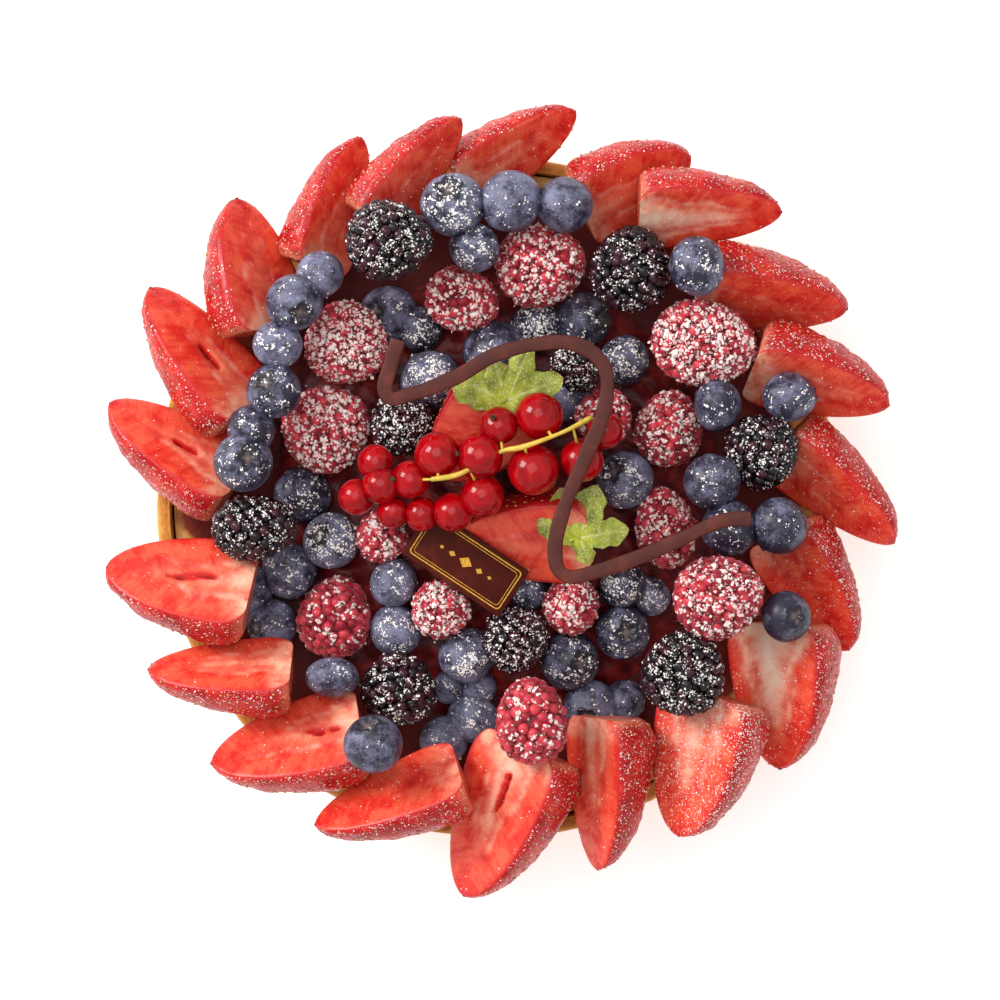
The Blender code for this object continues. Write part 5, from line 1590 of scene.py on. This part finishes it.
class CROSTATA_OT_icing_sugar(Operator):
    """Sieve icing sugar over the fruit: it stays on what it falls on from above"""

    bl_idname = "crostata.icing_sugar"
    bl_label = "Icing sugar"

    def execute(self, context):
        sizes = context.scene.crostata_sizes
        source = np.random.default_rng(77)
        trees = []
        for thing in bpy.context.scene.objects:
            kind = self.kind_of(thing.name)
            if kind is None:
                continue
            mesh = thing.data
            points = np.empty(len(mesh.vertices) * 3)
            mesh.vertices.foreach_get("co", points)
            points = points.reshape(-1, 3)
            tree = BVHTree.FromPolygons([tuple(point) for point in points],
                                        [tuple(face.vertices) for face in mesh.polygons])
            trees.append((tree, points[:, :2].min(axis=0), points[:, :2].max(axis=0), kind, thing))
        shares = SugarShare()
        drifts = {"flake": Heap(), "grain": Heap(), "dust": Heap()}
        falls = source.uniform(-0.105, 0.105, size=(sizes.sugar_falls, 2))  # metres, a square over the tart
        flecks = 0.75 * ripple(np.column_stack((falls / MM, np.zeros(len(falls)))), 2.3, 91, 16)
        flecks += 0.45 * ripple(np.column_stack((falls / MM, np.zeros(len(falls)))), 7.0, 92, 9)
        lots = source.random((len(falls), 3))
        down = Vector((0.0, 0.0, -1.0))
        for number, (x, y) in enumerate(falls):
            if math.hypot(x, y) > SIEVE_RADIUS * MM:
                continue
            best = None
            start = Vector((x, y, SIEVE_HEIGHT * MM))
            for tree, low, high, kind, thing in trees:
                if low[0] < x < high[0] and low[1] < y < high[1]:
                    hit, normal, face, _ = tree.ray_cast(start, down)
                    if hit is not None and (best is None or hit.z > best[0].z):
                        best = (hit, normal, kind, thing.name, thing.data.polygons[face].material_index)
            if best is None or best[1].z < 0.15:
                continue
            self.settle(best, lots[number], flecks[number], drifts, shares, source, sizes)
        surface = icing_sugar()
        for key, drift in drifts.items():
            if drift.count:
                stand_for(drift.make(f"icing_sugar_{key}", surface, smooth=False), "raspberry")
        return {"FINISHED"}

    @staticmethod
    def kind_of(name):
        """Kind of fruit that a piece shows, None where no sugar falls on it."""
        return next((kind for start, kind in FRUIT_KINDS.items() if name.startswith(start)), None)

    @staticmethod
    def settle(best, lots, fleck, drifts, shares, source, sizes):
        """Decide what stays where one grain lands and put it there."""
        hit, normal, kind, name, surface = best
        x, y, z = hit[0] / MM, hit[1] / MM, hit[2] / MM
        slope = normal.z
        table = {"raspberry": RASPBERRIES, "bramble": DARK_BERRIES}
        if kind in table:
            # Sugar cakes together in patches, with the bare fruit in between.
            share = table[kind][name.removeprefix("ripe_")][6]
            patch = smooth_step(-0.25, 0.25, fleck + (0.85 if kind == "raspberry" else 0.5) * (share - 0.9))
            chance = (0.10 * share + 0.75 * patch) * (0.25 + 0.75 * slope)
            size_kind = "flake" if lots[1] < 0.72 else "grain"
        elif kind == "blueberry":
            share = shares.blueberry(x, y)
            patch = smooth_step(-0.05, 0.45, fleck + 0.55 * (share - 0.9))
            chance = (0.12 * share + 0.95 * patch * min(share, 1.2)) * slope ** 1.3
            size_kind = "flake" if lots[1] < 0.70 * patch else "grain"
        elif kind == "half":
            share = HALF_LOOKS[int(name[-2:]) - 1][4]
            # Dry skin holds more of it than the wet cut face does.
            on_skin = surface == 0
            chance = (1.0 + 0.9 * share if on_skin else 0.75 * share ** 1.6) * 0.55
            chance *= (0.45 + 0.55 * slope) * (1.0 + 0.7 * fleck)
            size_kind = "grain" if lots[1] < (0.32 if on_skin else 0.15) * (0.5 + share) else "dust"
        else:
            chance, size_kind = (0.40 if kind == "leaf" else 0.03), "dust"
        if lots[0] > chance:
            return
        widths = {"flake": sizes.sugar_clump, "grain": sizes.sugar_grain, "dust": 0.6 * sizes.sugar_grain}
        width = COARSENESS[kind] * widths[size_kind] * (0.55 + lots[2] ** 1.5) / MM
        part, faces = {"flake": flake, "grain": octahedron, "dust": tetrahedron}[size_kind]()
        uneven = source.uniform(0.60, 1.20, size=(len(part), 1))
        rough = part * uneven * np.array((1.0, 0.75, 0.5)) * width / 2 * 1.15
        rough = rough @ turn_matrix(z=source.uniform(0.0, math.tau)).T
        lean = np.array(normal) + source.normal(scale=0.18, size=3)
        rough = rough @ turn_to(lean).T
        reddened = source.random() * (0.7 if kind in ("half", "raspberry") else 0.0)
        drifts[size_kind].put(rough + np.array((x, y, z)) + np.array(normal) * width * 0.06, faces,
                              tint=np.full(len(part), reddened))


class CROSTATA_OT_studio(Operator):
    """Set the white light table, the soft light and the camera above the tart"""

    bl_idname = "crostata.studio"
    bl_label = "Studio"

    def execute(self, context):
        scene = bpy.context.scene
        corners = [(x * TABLE_HALF, y * TABLE_HALF, -0.05) for x, y in ((-1, -1), (1, -1), (1, 1), (-1, 1))]
        floor = make_mesh("studio_floor", corners, [(0, 1, 2, 3)], light_table_acrylic(), smooth=False)
        world = bpy.data.worlds.new("studio_air")
        world.use_nodes = True
        background = world.node_tree.nodes["Background"]
        background.inputs["Color"].default_value = (1.0, 1.0, 1.0, 1.0)
        background.inputs["Strength"].default_value = AIR
        scene.world = world
        for name, (place, size, power) in SOFTBOXES.items():
            self.softbox(name, place, size, power)
        camera = bpy.data.cameras.new("overhead_camera")
        camera.lens = LENS
        camera.sensor_width = SENSOR
        camera.sensor_fit = "HORIZONTAL"
        camera.clip_end = 20.0
        looking = bpy.data.objects.new("overhead_camera", camera)
        centre_x, centre_y, height = FIELD_CENTRE
        looking.location = (centre_x * MM, centre_y * MM, (height + FIELD * LENS / SENSOR) * MM)
        scene.collection.objects.link(looking)
        scene.camera = looking
        scene.view_settings.view_transform = "Standard"
        return {"FINISHED"}

    @staticmethod
    def softbox(name, place, size, power):
        """Square light that faces the tart."""
        light = bpy.data.lights.new(name, "AREA")
        light.shape = "SQUARE"
        light.size = size
        light.energy = power
        box = bpy.data.objects.new(name, light)
        box.location = place
        box.rotation_euler = (Vector((0.0, 0.0, 0.03)) - Vector(place)).to_track_quat("-Z", "Y").to_euler()
        bpy.context.scene.collection.objects.link(box)


class CROSTATA_PT_panel(Panel):
    """Steps of the crostata in order"""

    bl_idname = "CROSTATA_PT_panel"
    bl_label = "Fruit crostata"
    bl_space_type = "VIEW_3D"
    bl_region_type = "UI"
    bl_category = "Crostata"

    def draw(self, context):
        for settings in (context.scene.crostata_sizes, context.scene.crostata_colours):
            for key in settings.bl_rna.properties.keys():
                if key not in ("rna_type", "name"):
                    self.layout.prop(settings, key)
        for step in STEPS:
            self.layout.operator(step.bl_idname)


STEPS = (
    CROSTATA_OT_studio,
    CROSTATA_OT_shell,
    CROSTATA_OT_custard,
    CROSTATA_OT_strawberry_halves,
    CROSTATA_OT_blueberries,
    CROSTATA_OT_raspberries,
    CROSTATA_OT_brambles,
    CROSTATA_OT_top_strawberries,
    CROSTATA_OT_redcurrants,
    CROSTATA_OT_ribbon,
    CROSTATA_OT_plaque,
    CROSTATA_OT_icing_sugar,
)
CLASSES = (CrostataSizes, CrostataColours) + STEPS + (CROSTATA_PT_panel,)


def register():
    for item in CLASSES:
        bpy.utils.register_class(item)
    bpy.types.Scene.crostata_sizes = PointerProperty(type=CrostataSizes)
    bpy.types.Scene.crostata_colours = PointerProperty(type=CrostataColours)


def unregister():
    del bpy.types.Scene.crostata_colours
    del bpy.types.Scene.crostata_sizes
    for item in reversed(CLASSES):
        bpy.utils.unregister_class(item)


def main():
    register()
    for step in STEPS:
        getattr(bpy.ops.crostata, step.bl_idname.split(".")[1])()


if __name__ == "__main__":
    main()
